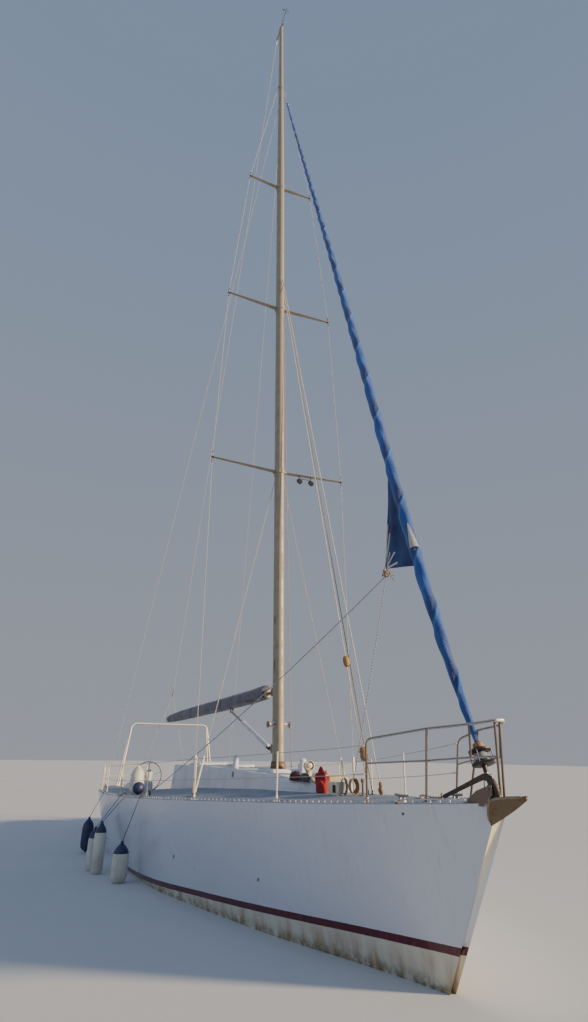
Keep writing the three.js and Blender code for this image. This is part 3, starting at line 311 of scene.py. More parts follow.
# Materials. A Look holds one material, and each of its methods adds a node and gives back that node's output.
class Look:
    def __init__(self, name, colour, roughness, metallic=0.0, **sockets):
        # a Principled surface with constants on its sockets
        self.mat = bpy.data.materials.new(name)
        self.mat.use_nodes = True
        self.mat.diffuse_color = (*colour, 1)
        self.tree = self.mat.node_tree
        self.surface = self.tree.nodes["Principled BSDF"].inputs
        values = {"Base Color": (*colour, 1), "Roughness": roughness, "Metallic": metallic}
        values.update({key.replace("_", " "): value for key, value in sockets.items()})
        for key, value in values.items():
            self.surface[key].default_value = value

    def add(self, kind, sockets=None, props=None, out=0):
        # one node: each socket takes a constant or a link
        node = self.tree.nodes.new("ShaderNode" + kind)
        for key, value in (props or {}).items():
            setattr(node, key, value)
        for key, value in (sockets or {}).items():
            if isinstance(value, bpy.types.NodeSocket):
                self.tree.links.new(value, node.inputs[key])
            else:
                node.inputs[key].default_value = value
        return node.outputs[out]

    def set(self, name, socket):
        # links a socket of the surface
        self.tree.links.new(socket, self.surface[name])

    def place(self, scale=(1, 1, 1), uv=False, turn=(0, 0, 0)):
        # object or UV coordinates, stretched and turned
        source = self.add("UVMap", {}, {"uv_map": "UVMap"}) if uv else self.add("TexCoord", out=3)
        return self.add("Mapping", {"Vector": source, "Scale": scale, "Rotation": turn})

    def part(self, vector, axis):
        # the x, y or z of a vector, as axis 0, 1 or 2
        return self.add("SeparateXYZ", {0: vector}, out=axis)

    def facing(self, axis):
        # how far the surface faces along x, y or z
        return self.part(self.add("TexCoord", {}, out=1), axis)

    def noise(self, vector, scale, detail=4.0, rough=0.55, distortion=0.0):
        # cloudy noise between 0 and 1
        return self.add("TexNoise", {"Vector": vector, "Scale": scale, "Detail": detail, "Roughness": rough,
            "Distortion": distortion})

    def level(self, value, low, high, start=0.0, end=1.0):
        # value between low and high brought to start and end, held outside
        return self.add("MapRange", {"Value": value, "From Min": low, "From Max": high, "To Min": start,
            "To Max": end})

    def combine(self, operation, a, b=0):
        # one step of arithmetic on two values
        return self.add("Math", {0: a, 1: b}, {"operation": operation})

    def times(self, a, b):
        # a b
        return self.combine("MULTIPLY", a, b)

    def plus(self, a, b):
        # a + b
        return self.combine("ADD", a, b)

    def less(self, a, b):
        # a - b
        return self.combine("SUBTRACT", a, b)

    def mixed(self, share, a, b):
        # colour a turned into colour b by a share
        full = lambda c: c if isinstance(c, bpy.types.NodeSocket) else (*c, 1)
        return self.add("Mix", {0: share, 6: full(a), 7: full(b)}, {"data_type": "RGBA", "blend_type": "MIX"},
            2)

    def relief(self, height, distance, strength=0.6):
        # bump of a height in metres
        self.set("Normal", self.add("Bump", {"Height": height, "Distance": distance, "Strength": strength}))


def worn(name, colour, roughness, metallic=0.0, dirt=(0.25, 0.2, 0.14), dirtShare=0.25, spread=0.12,
        scale=6.0, grain=60.0, grainDepth=0.0004, streak=(1, 1, 1), **sockets):
    # a finish with cloudy dirt, a change of gloss with it and a fine grain
    look = Look(name, colour, roughness, metallic, **sockets)
    where = look.place(streak)
    cloud = look.level(look.noise(where, scale, 6), 0.42, 0.72)
    fine = look.noise(where, grain, 3)
    tint = look.mixed(look.times(fine, spread), colour, tuple(c * 0.55 for c in colour))
    look.set("Base Color", look.mixed(look.times(cloud, dirtShare), tint, dirt))
    look.set("Roughness", look.level(cloud, 0, 1, roughness, min(roughness + 0.22, 1)))
    look.relief(fine, grainDepth, 0.5)
    return look.mat


def hullFinish():
    # gelcoat with its boot stripe, stains under it, faint runs down the topsides, old antifouling and a painted
    # sunlit stem
    # the stripe runs down aft: its height is measured from a line that falls 47 mm a metre
    facts = {"stripeLow": 0.36, "stripeHigh": 0.44, "fall": 0.047, "paintTop": -0.03,
        "stem": (0.86, 0.76, 0.55), "gelcoat": (0.58, 0.62, 0.71), "chalk": (0.53, 0.56, 0.62),
        "run": (0.34, 0.32, 0.27), "stripe": (0.075, 0.004, 0.012), "worn": (0.24, 0.05, 0.05),
        "under": (0.6, 0.585, 0.5), "stain": (0.3, 0.18, 0.06), "growth": (0.16, 0.14, 0.06),
        "bottom": (0.02, 0.024, 0.032)}
    look = Look("hullPaint", facts["gelcoat"], 0.22, Coat_Weight=0.35, Coat_Roughness=0.08)
    where = look.place()
    x, z = (look.part(where, k) for k in (0, 2))
    edge = look.times(look.less(look.noise(where, 9, 3), 0.5), 0.006)
    wavyZ = look.plus(z, edge)
    height = look.plus(wavyZ, look.times(look.less(x, stemX), -facts["fall"]))
    runs = look.noise(look.place((9, 9, 0.28)), 1.6, 7, 0.62)
    patches = look.noise(where, 0.55, 5, 0.5)
    chalk = look.mixed(look.level(patches, 0.35, 0.7, 0, 0.5), facts["gelcoat"], facts["chalk"])
    streaks = look.times(look.level(runs, 0.55, 0.8), look.level(z, 0.5, 1.7, 0.12, 0.38))
    side = look.mixed(streaks, chalk, facts["run"])
    brown = look.times(look.level(look.noise(look.place((3, 3, 0.6)), 2.2, 6), 0.4, 0.68),
        look.level(z, 0.4, 0.06, 0.1, 0.9))
    low = look.mixed(brown, facts["under"], facts["stain"])
    low = look.mixed(look.times(look.level(z, 0.14, 0.0), look.level(look.noise(where, 14, 5), 0.35, 0.6)),
        low, facts["growth"])
    stripe = look.mixed(look.level(look.noise(look.place((4, 4, 1)), 5, 6), 0.5, 0.75, 0, 0.35),
        facts["stripe"], facts["worn"])
    isUnder = look.level(height, facts["stripeLow"] + 0.002, facts["stripeLow"] - 0.002)
    isSide = look.level(height, facts["stripeHigh"] - 0.002, facts["stripeHigh"] + 0.002)
    isBottom = look.level(wavyZ, facts["paintTop"] + 0.004, facts["paintTop"] - 0.004)
    # painted sunlight: faces turned forward, the stem's face, get a warm cream as if the low sun caught them
    faceX = look.facing(0)
    sunlitStemShare = look.level(faceX, 0.5, 0.66)
    side = look.mixed(sunlitStemShare, side, facts["stem"])
    colour = look.mixed(isBottom, look.mixed(isUnder, look.mixed(isSide, stripe, side), low), facts["bottom"])
    look.set("Base Color", colour)
    dullness = look.plus(look.level(patches, 0.3, 0.7, 0.16, 0.34), look.times(isBottom, 0.45))
    look.set("Roughness", dullness)
    wave = look.plus(look.times(look.noise(where, 1.3, 2), 1.0), look.times(look.noise(where, 160, 2), 0.02))
    look.relief(wave, 0.004, 0.5)
    return look.mat


def deckFinish():
    # moulded diamond non-slip, worn and stained; its base colour is darkened and blued as painted shade
    look = Look("deckNonSlip", (0.27, 0.31, 0.38), 0.6)
    where = look.place((1, 1, 0), turn=(0, 0, math.radians(45)))
    x, y = (look.part(where, k) for k in (0, 1))
    studs = look.times(*(look.combine("PINGPONG", axis, 0.006) for axis in (x, y)))
    flat = look.place()
    cloud = look.noise(flat, 2.4, 7, 0.6)
    colour = look.mixed(look.level(cloud, 0.42, 0.68, 0, 0.55), (0.28, 0.32, 0.39), (0.15, 0.17, 0.2))
    colour = look.mixed(look.level(look.noise(flat, 22, 4), 0.55, 0.75, 0, 0.4), colour, (0.16, 0.14, 0.11))
    look.set("Base Color", colour)
    look.set("Roughness", look.level(cloud, 0.3, 0.7, 0.45, 0.8))
    look.relief(look.level(studs, 0, 0.00003), 0.0012, 0.7)
    return look.mat


def mouldedFinish(name, colour, dirtShare):
    # smooth moulded gelcoat with dirt settled in low places
    return worn(name, colour, 0.32, dirt=(0.34, 0.29, 0.2), dirtShare=dirtShare, spread=0.05, scale=2.6,
        grain=90, grainDepth=0.0006, streak=(1, 1, 0.6), Coat_Weight=0.2, Coat_Roughness=0.15)


def clothFinish(name, colour, shadow, threads=900.0, folds=3.0, stain=(0.2, 0.2, 0.2), stainShare=0.2,
        sheen=0.35):
    # plain weave of two crossed thread waves on the piece's own UVs, darkened towards the shadow colour in
    # clouds of painted fold shade
    look = Look(name, colour, 0.82, Sheen_Weight=sheen, Sheen_Roughness=0.5)
    uv = look.place((1, 1, 1), uv=True)
    u, v = (look.part(uv, k) for k in (0, 1))
    warp, weft = (look.combine("SINE", look.times(axis, threads * 2), 0) for axis in (u, v))
    weave = look.times(warp, weft)
    where = look.place()
    cloud = look.noise(where, folds, 6, 0.6)
    # painted shade: cloudy patches standing for folds, darkened towards the shadow colour
    tone = look.mixed(look.level(cloud, 0.35, 0.7), colour, shadow)
    tone = look.mixed(look.level(look.noise(where, 11, 6), 0.55, 0.8, 0, stainShare), tone, stain)
    tone = look.mixed(look.level(weave, -1, 1, 0, 0.3), tone, shadow)
    look.set("Base Color", tone)
    look.set("Roughness", look.level(cloud, 0.3, 0.7, 0.72, 0.92))
    creases = look.noise(where, 9, 5, 0.6, 0.4)
    look.relief(look.plus(look.times(creases, 12), weave), 0.0006, 0.55)
    return look.mat


def ropeFinish(name, colour, fleck, radius, fleckShare=0.5):
    # laid strands: a wave that climbs round the rope once in seven of its diameters, with a coloured fleck
    look = Look(name, colour, 0.75, Sheen_Weight=0.2)
    u, v = (look.part(look.place(uv=True), k) for k in (0, 1))
    turns = look.plus(look.times(u, 1 / (7 * radius)), look.times(v, 1 / (2 * math.pi * radius)))
    strand = look.combine("SINE", look.times(turns, 2 * math.pi * 4), 0)
    thread = look.combine("SINE", look.times(turns, 2 * math.pi), 0)
    tone = look.mixed(look.level(thread, 1 - 2 * fleckShare, 1), colour, fleck)
    tone = look.mixed(look.level(look.noise(look.place(), 14, 5), 0.5, 0.75, 0, 0.5), tone,
        tuple(c * 0.45 for c in colour))
    # painted shade: the grooves between the strands are darkened
    look.set("Base Color", look.mixed(look.level(strand, -1, -0.2, 0.5, 0), tone,
        tuple(c * 0.3 for c in colour)))
    look.relief(strand, radius * 0.35, 0.8)
    return look.mat


def metalFinish(name, colour, roughness, brushed=(1, 1, 1), rust=0.15, metallic=1.0, paintedDarkReflection=None):
    # metal with brushing along one axis, dull salt patches and a little tea staining. A painted dark
    # reflection, if given, browns the faces that stand upright as if they mirrored dark surroundings, and
    # leaves those that face up or down bright
    look = Look(name, colour, roughness, metallic)
    where = look.place(brushed)
    lines = look.noise(where, 110, 3)
    salt = look.noise(look.place(), 5, 6, 0.65)
    tea = look.level(look.noise(look.place((1, 1, 0.4)), 13, 6, 0.7), 0.6, 0.78, 0, rust)
    tone = look.mixed(look.level(salt, 0.4, 0.7, 0, 0.45), colour, tuple(c * 0.62 for c in colour))
    if paintedDarkReflection:
        up = look.combine("ABSOLUTE", look.facing(2), 0)
        tone = look.mixed(look.level(up, 0.55, 0.15), tone, paintedDarkReflection)
    look.set("Base Color", look.mixed(tea, tone, (0.22, 0.09, 0.03)))
    look.set("Roughness", look.level(salt, 0.35, 0.7, roughness, min(roughness + 0.3, 1)))
    look.relief(lines, 0.0003, 0.4)
    return look.mat


def rustyFinish(name, colour, rust, share):
    # old galvanising gone to rust in patches
    look = Look(name, colour, 0.6, 0.6)
    where = look.place()
    patch = look.level(look.noise(where, 9, 8, 0.65, 0.4), 0.62 - share * 0.4, 0.7 - share * 0.3)
    pits = look.noise(where, 120, 4)
    tone = look.mixed(look.level(pits, 0.3, 0.7, 0, 0.7), colour, tuple(c * 0.5 for c in colour))
    look.set("Base Color", look.mixed(patch, tone, rust))
    look.set("Metallic", look.level(patch, 0, 1, 0.65, 0.05))
    look.set("Roughness", look.level(patch, 0, 1, 0.5, 0.9))
    look.relief(look.plus(pits, patch), 0.0014, 0.7)
    return look.mat


def glassFinish():
    # smoked acrylic with fine scratches and dried salt
    look = Look("smokedAcrylic", (0.018, 0.022, 0.028), 0.08, Coat_Weight=0.6, Coat_Roughness=0.03)
    where = look.place()
    salt = look.level(look.noise(where, 30, 6, 0.7), 0.5, 0.75)
    look.set("Base Color", look.mixed(look.times(salt, 0.35), (0.018, 0.022, 0.028), (0.22, 0.23, 0.24)))
    look.set("Roughness", look.level(salt, 0, 1, 0.07, 0.4))
    look.relief(look.noise(look.place((1, 14, 1)), 60, 3), 0.0002, 0.3)
    return look.mat


def teakFinish():
    # teak strips with dark seams along the boat and grain between them
    look = Look("teak", (0.33, 0.22, 0.13), 0.7)
    where = look.place()
    y = look.part(where, 1)
    seam = look.level(look.combine("PINGPONG", look.plus(y, 10), 0.026), 0.0025, 0.0015)
    grain = look.noise(look.place((1.5, 26, 26)), 5, 6, 0.6)
    tone = look.mixed(look.level(grain, 0.35, 0.65), (0.36, 0.26, 0.17), (0.2, 0.13, 0.075))
    tone = look.mixed(look.level(look.noise(where, 2, 4), 0.45, 0.7, 0, 0.6), tone, (0.3, 0.27, 0.24))
    look.set("Base Color", look.mixed(seam, tone, (0.02, 0.02, 0.02)))
    look.relief(look.less(grain, look.times(seam, 2)), 0.0008, 0.6)
    return look.mat


def bottomFinish():
    # matt antifouling over brushed keel and rudder, with slime low down
    return worn("antifouling", (0.022, 0.026, 0.034), 0.75, dirt=(0.06, 0.08, 0.04), dirtShare=0.7,
        spread=0.3, scale=2.0, grain=70, grainDepth=0.0012)


hullPaint, deckPaint, teak = hullFinish(), deckFinish(), teakFinish()
acrylic, bottomPaint = glassFinish(), bottomFinish()
houseWhite = mouldedFinish("houseGelcoat", (0.64, 0.68, 0.76), 0.25)
innerWhite = mouldedFinish("cockpitGelcoat", (0.62, 0.64, 0.66), 0.45)
creamPlastic = mouldedFinish("creamPlastic", (0.72, 0.66, 0.5), 0.4)
# stainless with a painted dark brown reflection on its upright faces
steel = metalFinish("stainless", (0.6, 0.58, 0.56), 0.28, metallic=0.7, paintedDarkReflection=(0.2, 0.155, 0.125))
# painted light: a copy of stainless made pale and warm as if lit by the low sun
sunlitSteel = metalFinish("sunlitStainless", (0.74, 0.68, 0.57), 0.36, metallic=0.3)
vangAlloy = metalFinish("vangAlloy", (0.7, 0.73, 0.78), 0.38, metallic=0.35)
# painted shade: the alloy's base colour is darkened to olive-brown, the tone of the mast's shaded side
mastAlloy = metalFinish("mastAlloy", (0.33, 0.29, 0.22), 0.45, (1, 1, 0.05), 0.12, 0.25)
railAlloy = metalFinish("railAlloy", (0.5, 0.53, 0.58), 0.5, (0.1, 1, 1), 0.3, 0.3)
wireSteel = ropeFinish("wireSteel", (0.66, 0.62, 0.55), (0.34, 0.31, 0.27), 0.007, 0.3)
bronze = metalFinish("bronze", (0.42, 0.27, 0.1), 0.35, rust=0.3)
blackPlastic = worn("blackPlastic", (0.022, 0.023, 0.026), 0.5, dirt=(0.16, 0.14, 0.11), dirtShare=0.4,
    scale=12)
darkMetal = worn("darkMetal", (0.05, 0.05, 0.055), 0.45, 0.5, dirt=(0.2, 0.13, 0.07), dirtShare=0.5, scale=14)
# galvanising painted near-black as painted shade on the shank, with rust patches
rustyShadedAnchor = rustyFinish("wornShadedGalvanising", (0.085, 0.08, 0.075), (0.1, 0.065, 0.038), 0.3)
# pale rubbed galvanising on the chain, shackle and outlets, and a painted highlight on the anchor's sunlit wing
# rims
rustAndSunlitEdge = rustyFinish("rubbedAndSunlitGalvanising", (0.38, 0.31, 0.21), (0.24, 0.16, 0.09), 0.35)
# painted sunlight: the fluke's tan stands for the warm light of the low sun on rusty galvanising
sunlitRustyFluke = rustyFinish("sunlitRustyFluke", (0.2, 0.155, 0.105), (0.14, 0.09, 0.05), 0.3)
brownBoot = worn("mastBoot", (0.2, 0.105, 0.045), 0.6, dirt=(0.05, 0.035, 0.025), dirtShare=0.6, scale=9,
    spread=0.4)
brownBlock = worn("tanFibre", (0.34, 0.19, 0.08), 0.55, dirt=(0.1, 0.06, 0.03), dirtShare=0.5, scale=20)
blackRubber = worn("blackRubber", (0.018, 0.018, 0.02), 0.7, dirt=(0.1, 0.09, 0.08), dirtShare=0.4, scale=15)
vinylWhite = worn("fenderWhite", (0.66, 0.655, 0.6), 0.38, dirt=(0.3, 0.27, 0.18), dirtShare=0.6, scale=5,
    streak=(1, 1, 0.5), grain=45)
vinylNavy = worn("fenderNavy", (0.012, 0.018, 0.085), 0.34, dirt=(0.1, 0.11, 0.16), dirtShare=0.4, scale=8)
navyCloth = clothFinish("clewCloth", (0.01, 0.045, 0.2), (0.005, 0.018, 0.085), stain=(0.04, 0.09, 0.24),
    sheen=0.12)
strapCloth = clothFinish("clewStraps", (0.55, 0.55, 0.53), (0.34, 0.34, 0.35), stain=(0.25, 0.22, 0.17),
    stainShare=0.5)
coverCloth = clothFinish("coverCloth", (0.115, 0.112, 0.15), (0.06, 0.058, 0.085), stain=(0.2, 0.195, 0.21),
    stainShare=0.4)
# near-black cloth: painted shade in the cover's open front, and the dark colour of its seams
coverDark = clothFinish("coverShadow", (0.022, 0.021, 0.028), (0.012, 0.011, 0.016))
redCloth = clothFinish("redCloth", (0.36, 0.01, 0.014), (0.12, 0.004, 0.006), stain=(0.42, 0.06, 0.05),
    sheen=0.1)
maroonCloth = clothFinish("maroonCloth", (0.14, 0.01, 0.022), (0.05, 0.006, 0.01), sheen=0.1)
pinkCloth = clothFinish("pinkCloth", (0.6, 0.33, 0.3), (0.42, 0.2, 0.19))
darkCloth = clothFinish("darkCloth", (0.03, 0.03, 0.035), (0.014, 0.014, 0.018))
creamCanvas = clothFinish("creamCanvas", (0.62, 0.56, 0.42), (0.42, 0.36, 0.25), stain=(0.3, 0.24, 0.15),
    stainShare=0.4)
whiteRope = ropeFinish("whiteRope", (0.8, 0.75, 0.63), (0.6, 0.54, 0.44), 0.007)
blueRope = ropeFinish("blueFleckRope", (0.5, 0.52, 0.55), (0.05, 0.1, 0.3), 0.006)
redRope = ropeFinish("redFleckRope", (0.52, 0.48, 0.42), (0.4, 0.03, 0.03), 0.006)
tanRope = ropeFinish("tanRope", (0.44, 0.31, 0.17), (0.28, 0.18, 0.09), 0.007)
darkRope = ropeFinish("darkRope", (0.05, 0.055, 0.07), (0.12, 0.12, 0.14), 0.006)
print("materials ready")


# Camera, floor and light
camera = {"place": (14.73, -4.29, 2.2), "heading": (-0.9239, 0.3827), "pitch": 23.27, "roll": 0.58,
    "lens": 20.08}
forward = np.array([*camera["heading"], 0.0]) * math.cos(math.radians(camera["pitch"]))
forward[2] = math.sin(math.radians(camera["pitch"]))
right = unit(np.cross(forward, [0, 0, 1]))
turned = np.stack([right, np.cross(right, forward), -forward], 1) @ rotation((0, 0, 1),
    math.radians(camera["roll"]))
lensData = bpy.data.cameras.new("camera")
lensData.lens, lensData.sensor_width, lensData.clip_end = camera["lens"], 36, 1000
cameraObj = placed("camera", lensData)
cameraObj.matrix_world = Matrix.LocRotScale(camera["place"], Matrix(turned), None)
bpy.context.scene.camera = cameraObj

lights = {"key": {"from": (0.6, 0.74, 0.28), "strength": 7.0, "angle": 6, "colour": (1.0, 0.78, 0.5)},
    "fill": {"from": (0.25, -0.85, 0.45), "strength": 0.22, "angle": 60, "colour": (0.62, 0.76, 1.0)},
    "sky": {"strength": 0.4, "low": (0.8, 0.85, 0.95), "high": (0.48, 0.66, 1.0)}}
for name in ("key", "fill"):
    facts = lights[name]
    sun = bpy.data.lights.new(name, "SUN")
    sun.energy, sun.angle, sun.color = facts["strength"], math.radians(facts["angle"]), facts["colour"]
    lamp = placed(name, sun)
    side, up, axis = frameOf(facts["from"])
    lamp.matrix_world = Matrix.LocRotScale(axis * 60, Matrix(np.stack([side, up, axis], 1)), None)
world = bpy.data.worlds.new("sky")
bpy.context.scene.world = world
world.use_nodes = True
sky = world.node_tree
heightOf = sky.nodes.new("ShaderNodeSeparateXYZ")
sky.links.new(sky.nodes.new("ShaderNodeTexCoord").outputs["Generated"], heightOf.inputs[0])
blend = sky.nodes.new("ShaderNodeMix")
blend.data_type = "RGBA"
sky.links.new(heightOf.outputs[2], blend.inputs[0])
for socket, end in ((6, "low"), (7, "high")):
    blend.inputs[socket].default_value = (*lights["sky"][end], 1)
sky.links.new(blend.outputs[2], sky.nodes["Background"].inputs["Color"])
sky.nodes["Background"].inputs["Strength"].default_value = lights["sky"]["strength"]

floorMat = worn("paleFloor", (0.62, 0.64, 0.66), 0.75, dirt=(0.5, 0.52, 0.55), dirtShare=0.3, spread=0.04,
    scale=0.15, grain=3)
floorPoints = at(*np.meshgrid(spread(-160, 240, 9), spread(-160, 160, 9), indexing="ij"), 0.0)
floor = placed("floor", meshOf("floor", [grid(floorPoints, closed=False)], [floorMat]))
print("camera, floor and light ready")

# Hull lines in metres. Each row is one section from the stem to the transom: where its sheer, waterline and
# keel points lie aft, half breadth and height of the sheer, half breadth and height at the waterline, and
# bottom.
hullRows = np.array([[-1.08, 0, 0.65, 0.068, 1.8, 0.038, 0, -0.3],
    [-0.8, 0.16, 0.9, 0.162, 1.778, 0.082, 0, -0.38], [-0.27, 0.56, 1.3, 0.362, 1.741, 0.208, 0, -0.47],
    [0.6, 1.25, 1.9, 0.64, 1.69, 0.455, 0, -0.56], [1.5, 2, 2.5, 0.9, 1.638, 0.755, 0, -0.64],
    [2.3, 2.7, 3, 1.135, 1.6, 1.015, 0, -0.69], [3.3, 3.5, 3.6, 1.46, 1.556, 1.265, 0, -0.735],
    [4.3, 4.4, 4.45, 1.75, 1.511, 1.52, 0, -0.765], [6, 6, 6, 2.1, 1.437, 1.94, 0, -0.795],
    [8, 8, 8, 2.36, 1.356, 2.12, 0, -0.8], [10, 10, 10, 2.48, 1.298, 2.195, 0, -0.77],
    [11.5, 11.5, 11.5, 2.5, 1.275, 2.195, 0, -0.71], [13, 13, 13, 2.42, 1.24, 2.09, 0, -0.6],
    [14.5, 14.5, 14.5, 2.25, 1.215, 1.89, 0, -0.43], [15.7, 15.725, 15.75, 2.08, 1.2, 1.72, 0.06, -0.19],
    [16.5, 17.017, 17.105, 1.95, 1.19, 1.56, 0.25, 0.09]])
sectionsFine = curve(hullRows, 15 * 12 + 1)


def sheerHalf(aft):
    # half breadth of the sheer, read off the fine sections
    return np.interp(aft, sectionsFine[:, 0], sectionsFine[:, 3])


def sheerZ(aft):
    # height of the sheer, read off the same way
    return np.interp(aft, sectionsFine[:, 0], sectionsFine[:, 4])


def camber(aft):
    # rise of the deck per metre of half breadth, more forward of the cockpit
    return np.interp(aft, [4.3, 6, 8, 9.5, 11], [0.1, 0.086, 0.08, 0.056, 0.04])


def deckZ(aft, side):
    # sheer height + camber half (1 - (side / half)^2)
    half = sheerHalf(aft)
    return sheerZ(aft) + camber(aft) * half * (1 - (side / half) ** 2)


def onDeck(aft, side, up=0.0):
    # a point over the deck
    return at(aft, side, deckZ(aft, side) + up)


def hullSkin(topSteps=14, bottomSteps=18, deckSteps=28):
    # topside: quadratic through the sheer and waterline points, swelled by 0.012 of the half breadth.
    # bottom: cubic leaving the waterline along the topside's slope and reaching the keel level.
    # deck: sheer height + camber. The ring runs port sheer, keel, starboard sheer, and back over the deck.
    sa, wa, ka, sh, sz, wh, wz, kz = sectionsFine.T[:, :, None]
    drop, lean, flare = wz - kz, (wa - sa) / (sz - wz), (sh - wh) / (sz - wz)
    s = np.linspace(0, 1, topSteps + 1)[None, :]
    quad = lambda a, b, c: (1 - s) ** 2 * a + 2 * s * (1 - s) * b + s * s * c
    top = at(quad(sa, (sa + wa) / 2, wa), quad(sh, (sh + wh) / 2 + 0.012 * sh, wh) * -1,
        quad(sz, (sz + wz) / 2, wz))
    t = np.linspace(0, 1, bottomSteps + 1)[None, 1:]
    cubic = lambda a, b, c, d: ((1 - t) ** 3 * a + 3 * t * (1 - t) ** 2 * b + 3 * t * t * (1 - t) * c
        + t ** 3 * d)
    low = at(cubic(wa, wa + lean * 0.55 * drop, ka, ka),
        -cubic(wh, wh - flare * 0.55 * drop, 0.52 * wh, 0 * wh), cubic(wz, wz - 0.55 * drop, kz, kz))
    port = np.concatenate([top, low], 1)
    across = np.linspace(-1, 1, deckSteps + 1)[None, 1:-1]
    deck = at(sa, sh * -across, sz + camber(sa) * sh * (1 - across ** 2))
    ring = np.concatenate([port, port[:, -2::-1] * [1, -1, 1], deck], 1)
    sides = 2 * (topSteps + bottomSteps)
    mat = np.where(np.arange(ring.shape[1]) < sides, 0, 1)
    return grid(ring, mat=mat[None, :])


# Companionway, footwell, seats, helm's well and stern gate: from, to, half breadth and floor
wells = [(9.6, 10.3, 0.3, 0.7), (10.7, 13.45, 0.43, 0.62), (10.65, 13.5, 1.23, 1.02),
    (13.5, 15.85, 1.5, 0.78), (15.8, 17.4, 0.43, 0.78)]
wellTop = 2.6
hullMats = [hullPaint, deckPaint, innerWhite, teak]
hullObj = placed("hull_shell", meshOf("hullTool", [hullSkin()], hullMats))
tools = []
for k, (start, end, half, low) in enumerate(wells):
    box = block(at(start, half, low), at(end, -half, wellTop), mat=2)
    tools.append(placed(f"wellTool{k}", meshOf(f"wellTool{k}", [box], hullMats)))
    cut = hullObj.modifiers.new(f"well{k}", "BOOLEAN")
    cut.operation, cut.solver, cut.object = "DIFFERENCE", "EXACT", tools[-1]
whole = bpy.data.meshes.new_from_object(hullObj.evaluated_get(bpy.context.evaluated_depsgraph_get()))
hullObj.modifiers.clear()
hullObj.data = whole
for tool in tools:
    bpy.data.objects.remove(tool)
shade(whole, 25)
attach(hullObj, "hull")
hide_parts("hull", "topsides_fore", "topsides_aft")
print("hull ready,", len(whole.polygons), "faces")

# What is under water keeps its solids
underwater = {"keel_fin": bottomPaint, "keel_bulb": bottomPaint, "rudder": bottomPaint,
    "shaft_bracket": bronze, "propeller": bronze}
for node, mat in underwater.items():
    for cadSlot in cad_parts[node].material_slots:
        cadSlot.material = mat

# Coachroof: rows of aft, half width at the deck, half width at the roof's edge, edge height, crown height
roofRows = np.array([[2.59, 0.34, 0.3, 1.795, 1.818], [2.7, 0.4, 0.35, 1.825, 1.85],
    [3.6, 0.56, 0.51, 1.845, 1.868], [3.76, 0.575, 0.525, 1.89, 1.914], [5, 0.62, 0.57, 1.9, 1.925],
    [5.8, 0.66, 0.61, 1.942, 1.965], [7, 0.72, 0.665, 1.945, 1.972], [9, 0.82, 0.765, 1.95, 1.98],
    [10.4, 0.88, 0.82, 1.95, 1.98]])


def roofAt(aft):
    # the rows' columns read off at a station, straight between rows
    return np.stack([np.interp(aft, roofRows[:, 0], roofRows[:, k]) for k in range(1, 5)], -1)


def roofZ(aft, side):
    # crown lowered to 22 mm over the edge by the square of how far out the point is
    _, edgeHalf, edgeZ, crownZ = np.moveaxis(roofAt(aft), -1, 0)
    return crownZ + (edgeZ + 0.022 - crownZ) * (np.asarray(side) / edgeHalf) ** 2


def onRoof(aft, side):
    # a point on the coachroof
    return at(aft, side, roofZ(aft, side))


def roofShell(start=2.59, end=10.4, count=80, floor=1.35):
    # section: up the side, a rounded shoulder, the crowned top and down again
    aft = np.union1d(np.linspace(start, end, count),
        roofRows[(roofRows[:, 0] > start) & (roofRows[:, 0] < end), 0])
    base, edge, edgeZ, crown = roofAt(aft).T[:, :, None]
    u = np.concatenate([np.linspace(1, 0.93, 6), np.linspace(0.92, 0, 13)])[None, :]
    rounding = np.clip((u - 0.92) / 0.08, 0, 1)
    z = np.minimum(crown + (edgeZ + 0.022 - crown) * u * u, edgeZ + 0.022) - 0.022 * rounding ** 2
    half = at(aft[:, None], edge * u, z)
    sides = at(aft[:, None], base, floor + 0 * z[:, :1])
    return np.concatenate([sides, half, half[:, -2::-1] * [1, -1, 1], sides * [1, -1, 1]], 1)


# Two strips of roof beside the companionway, and the whole roof ahead of it
companion = {"from": 9.56, "half": 0.32}
ahead = roofShell(end=companion["from"])
behind = roofShell(start=companion["from"], count=10)


def sideOfRoof(ring, half):
    # the half of each ring to starboard of the slot, closed down its inner face
    edgeTop = ring[:, :20].copy()
    inside = np.abs(edgeTop[..., 1]) < half
    edgeTop[..., 1] = np.where(inside, -half, edgeTop[..., 1])
    edgeTop[..., 1] = np.minimum(edgeTop[..., 1], -half)
    foot = edgeTop[:, -1:].copy()
    foot[..., 2] = ring[:, :1, 2]
    return np.concatenate([edgeTop, foot], 1)


starboardAft = grid(sideOfRoof(behind, companion["half"]))
roofShapes = [grid(ahead), starboardAft, mirrored(starboardAft)]
plinthOutline = roundedRect(0.42, 0.3, 0.07)
plinthRows = [(1.68, 1.02), (1.92, 0.985), (1.955, 0.975), (1.973, 0.96), (1.98, 0.93)]
roofShapes.append(stacked(4.96, 0, [(plinthOutline * [-k, k], z) for z, k in plinthRows]))
lidFrames = {"fore_hatch": (3.15, 0.3, 0.3), "saloon_hatch": (7.3, 0.26, 0.26)}
lidLevels = {}
for name, (aft, long, wide) in lidFrames.items():
    top = float(max(roofZ(aft - long, 0), roofZ(aft + long, 0))) + 0.014
    lidLevels[name] = top
    outer, inner = roundedRect(long, wide, 0.05), roundedRect(long - 0.045, wide - 0.045, 0.03)
    rows = [(outer, top - 0.12), (outer, top - 0.008), (outer * 0.985, top), (inner, top),
        (inner, top - 0.05)]
    roofShapes.append(stacked(aft, 0, rows))
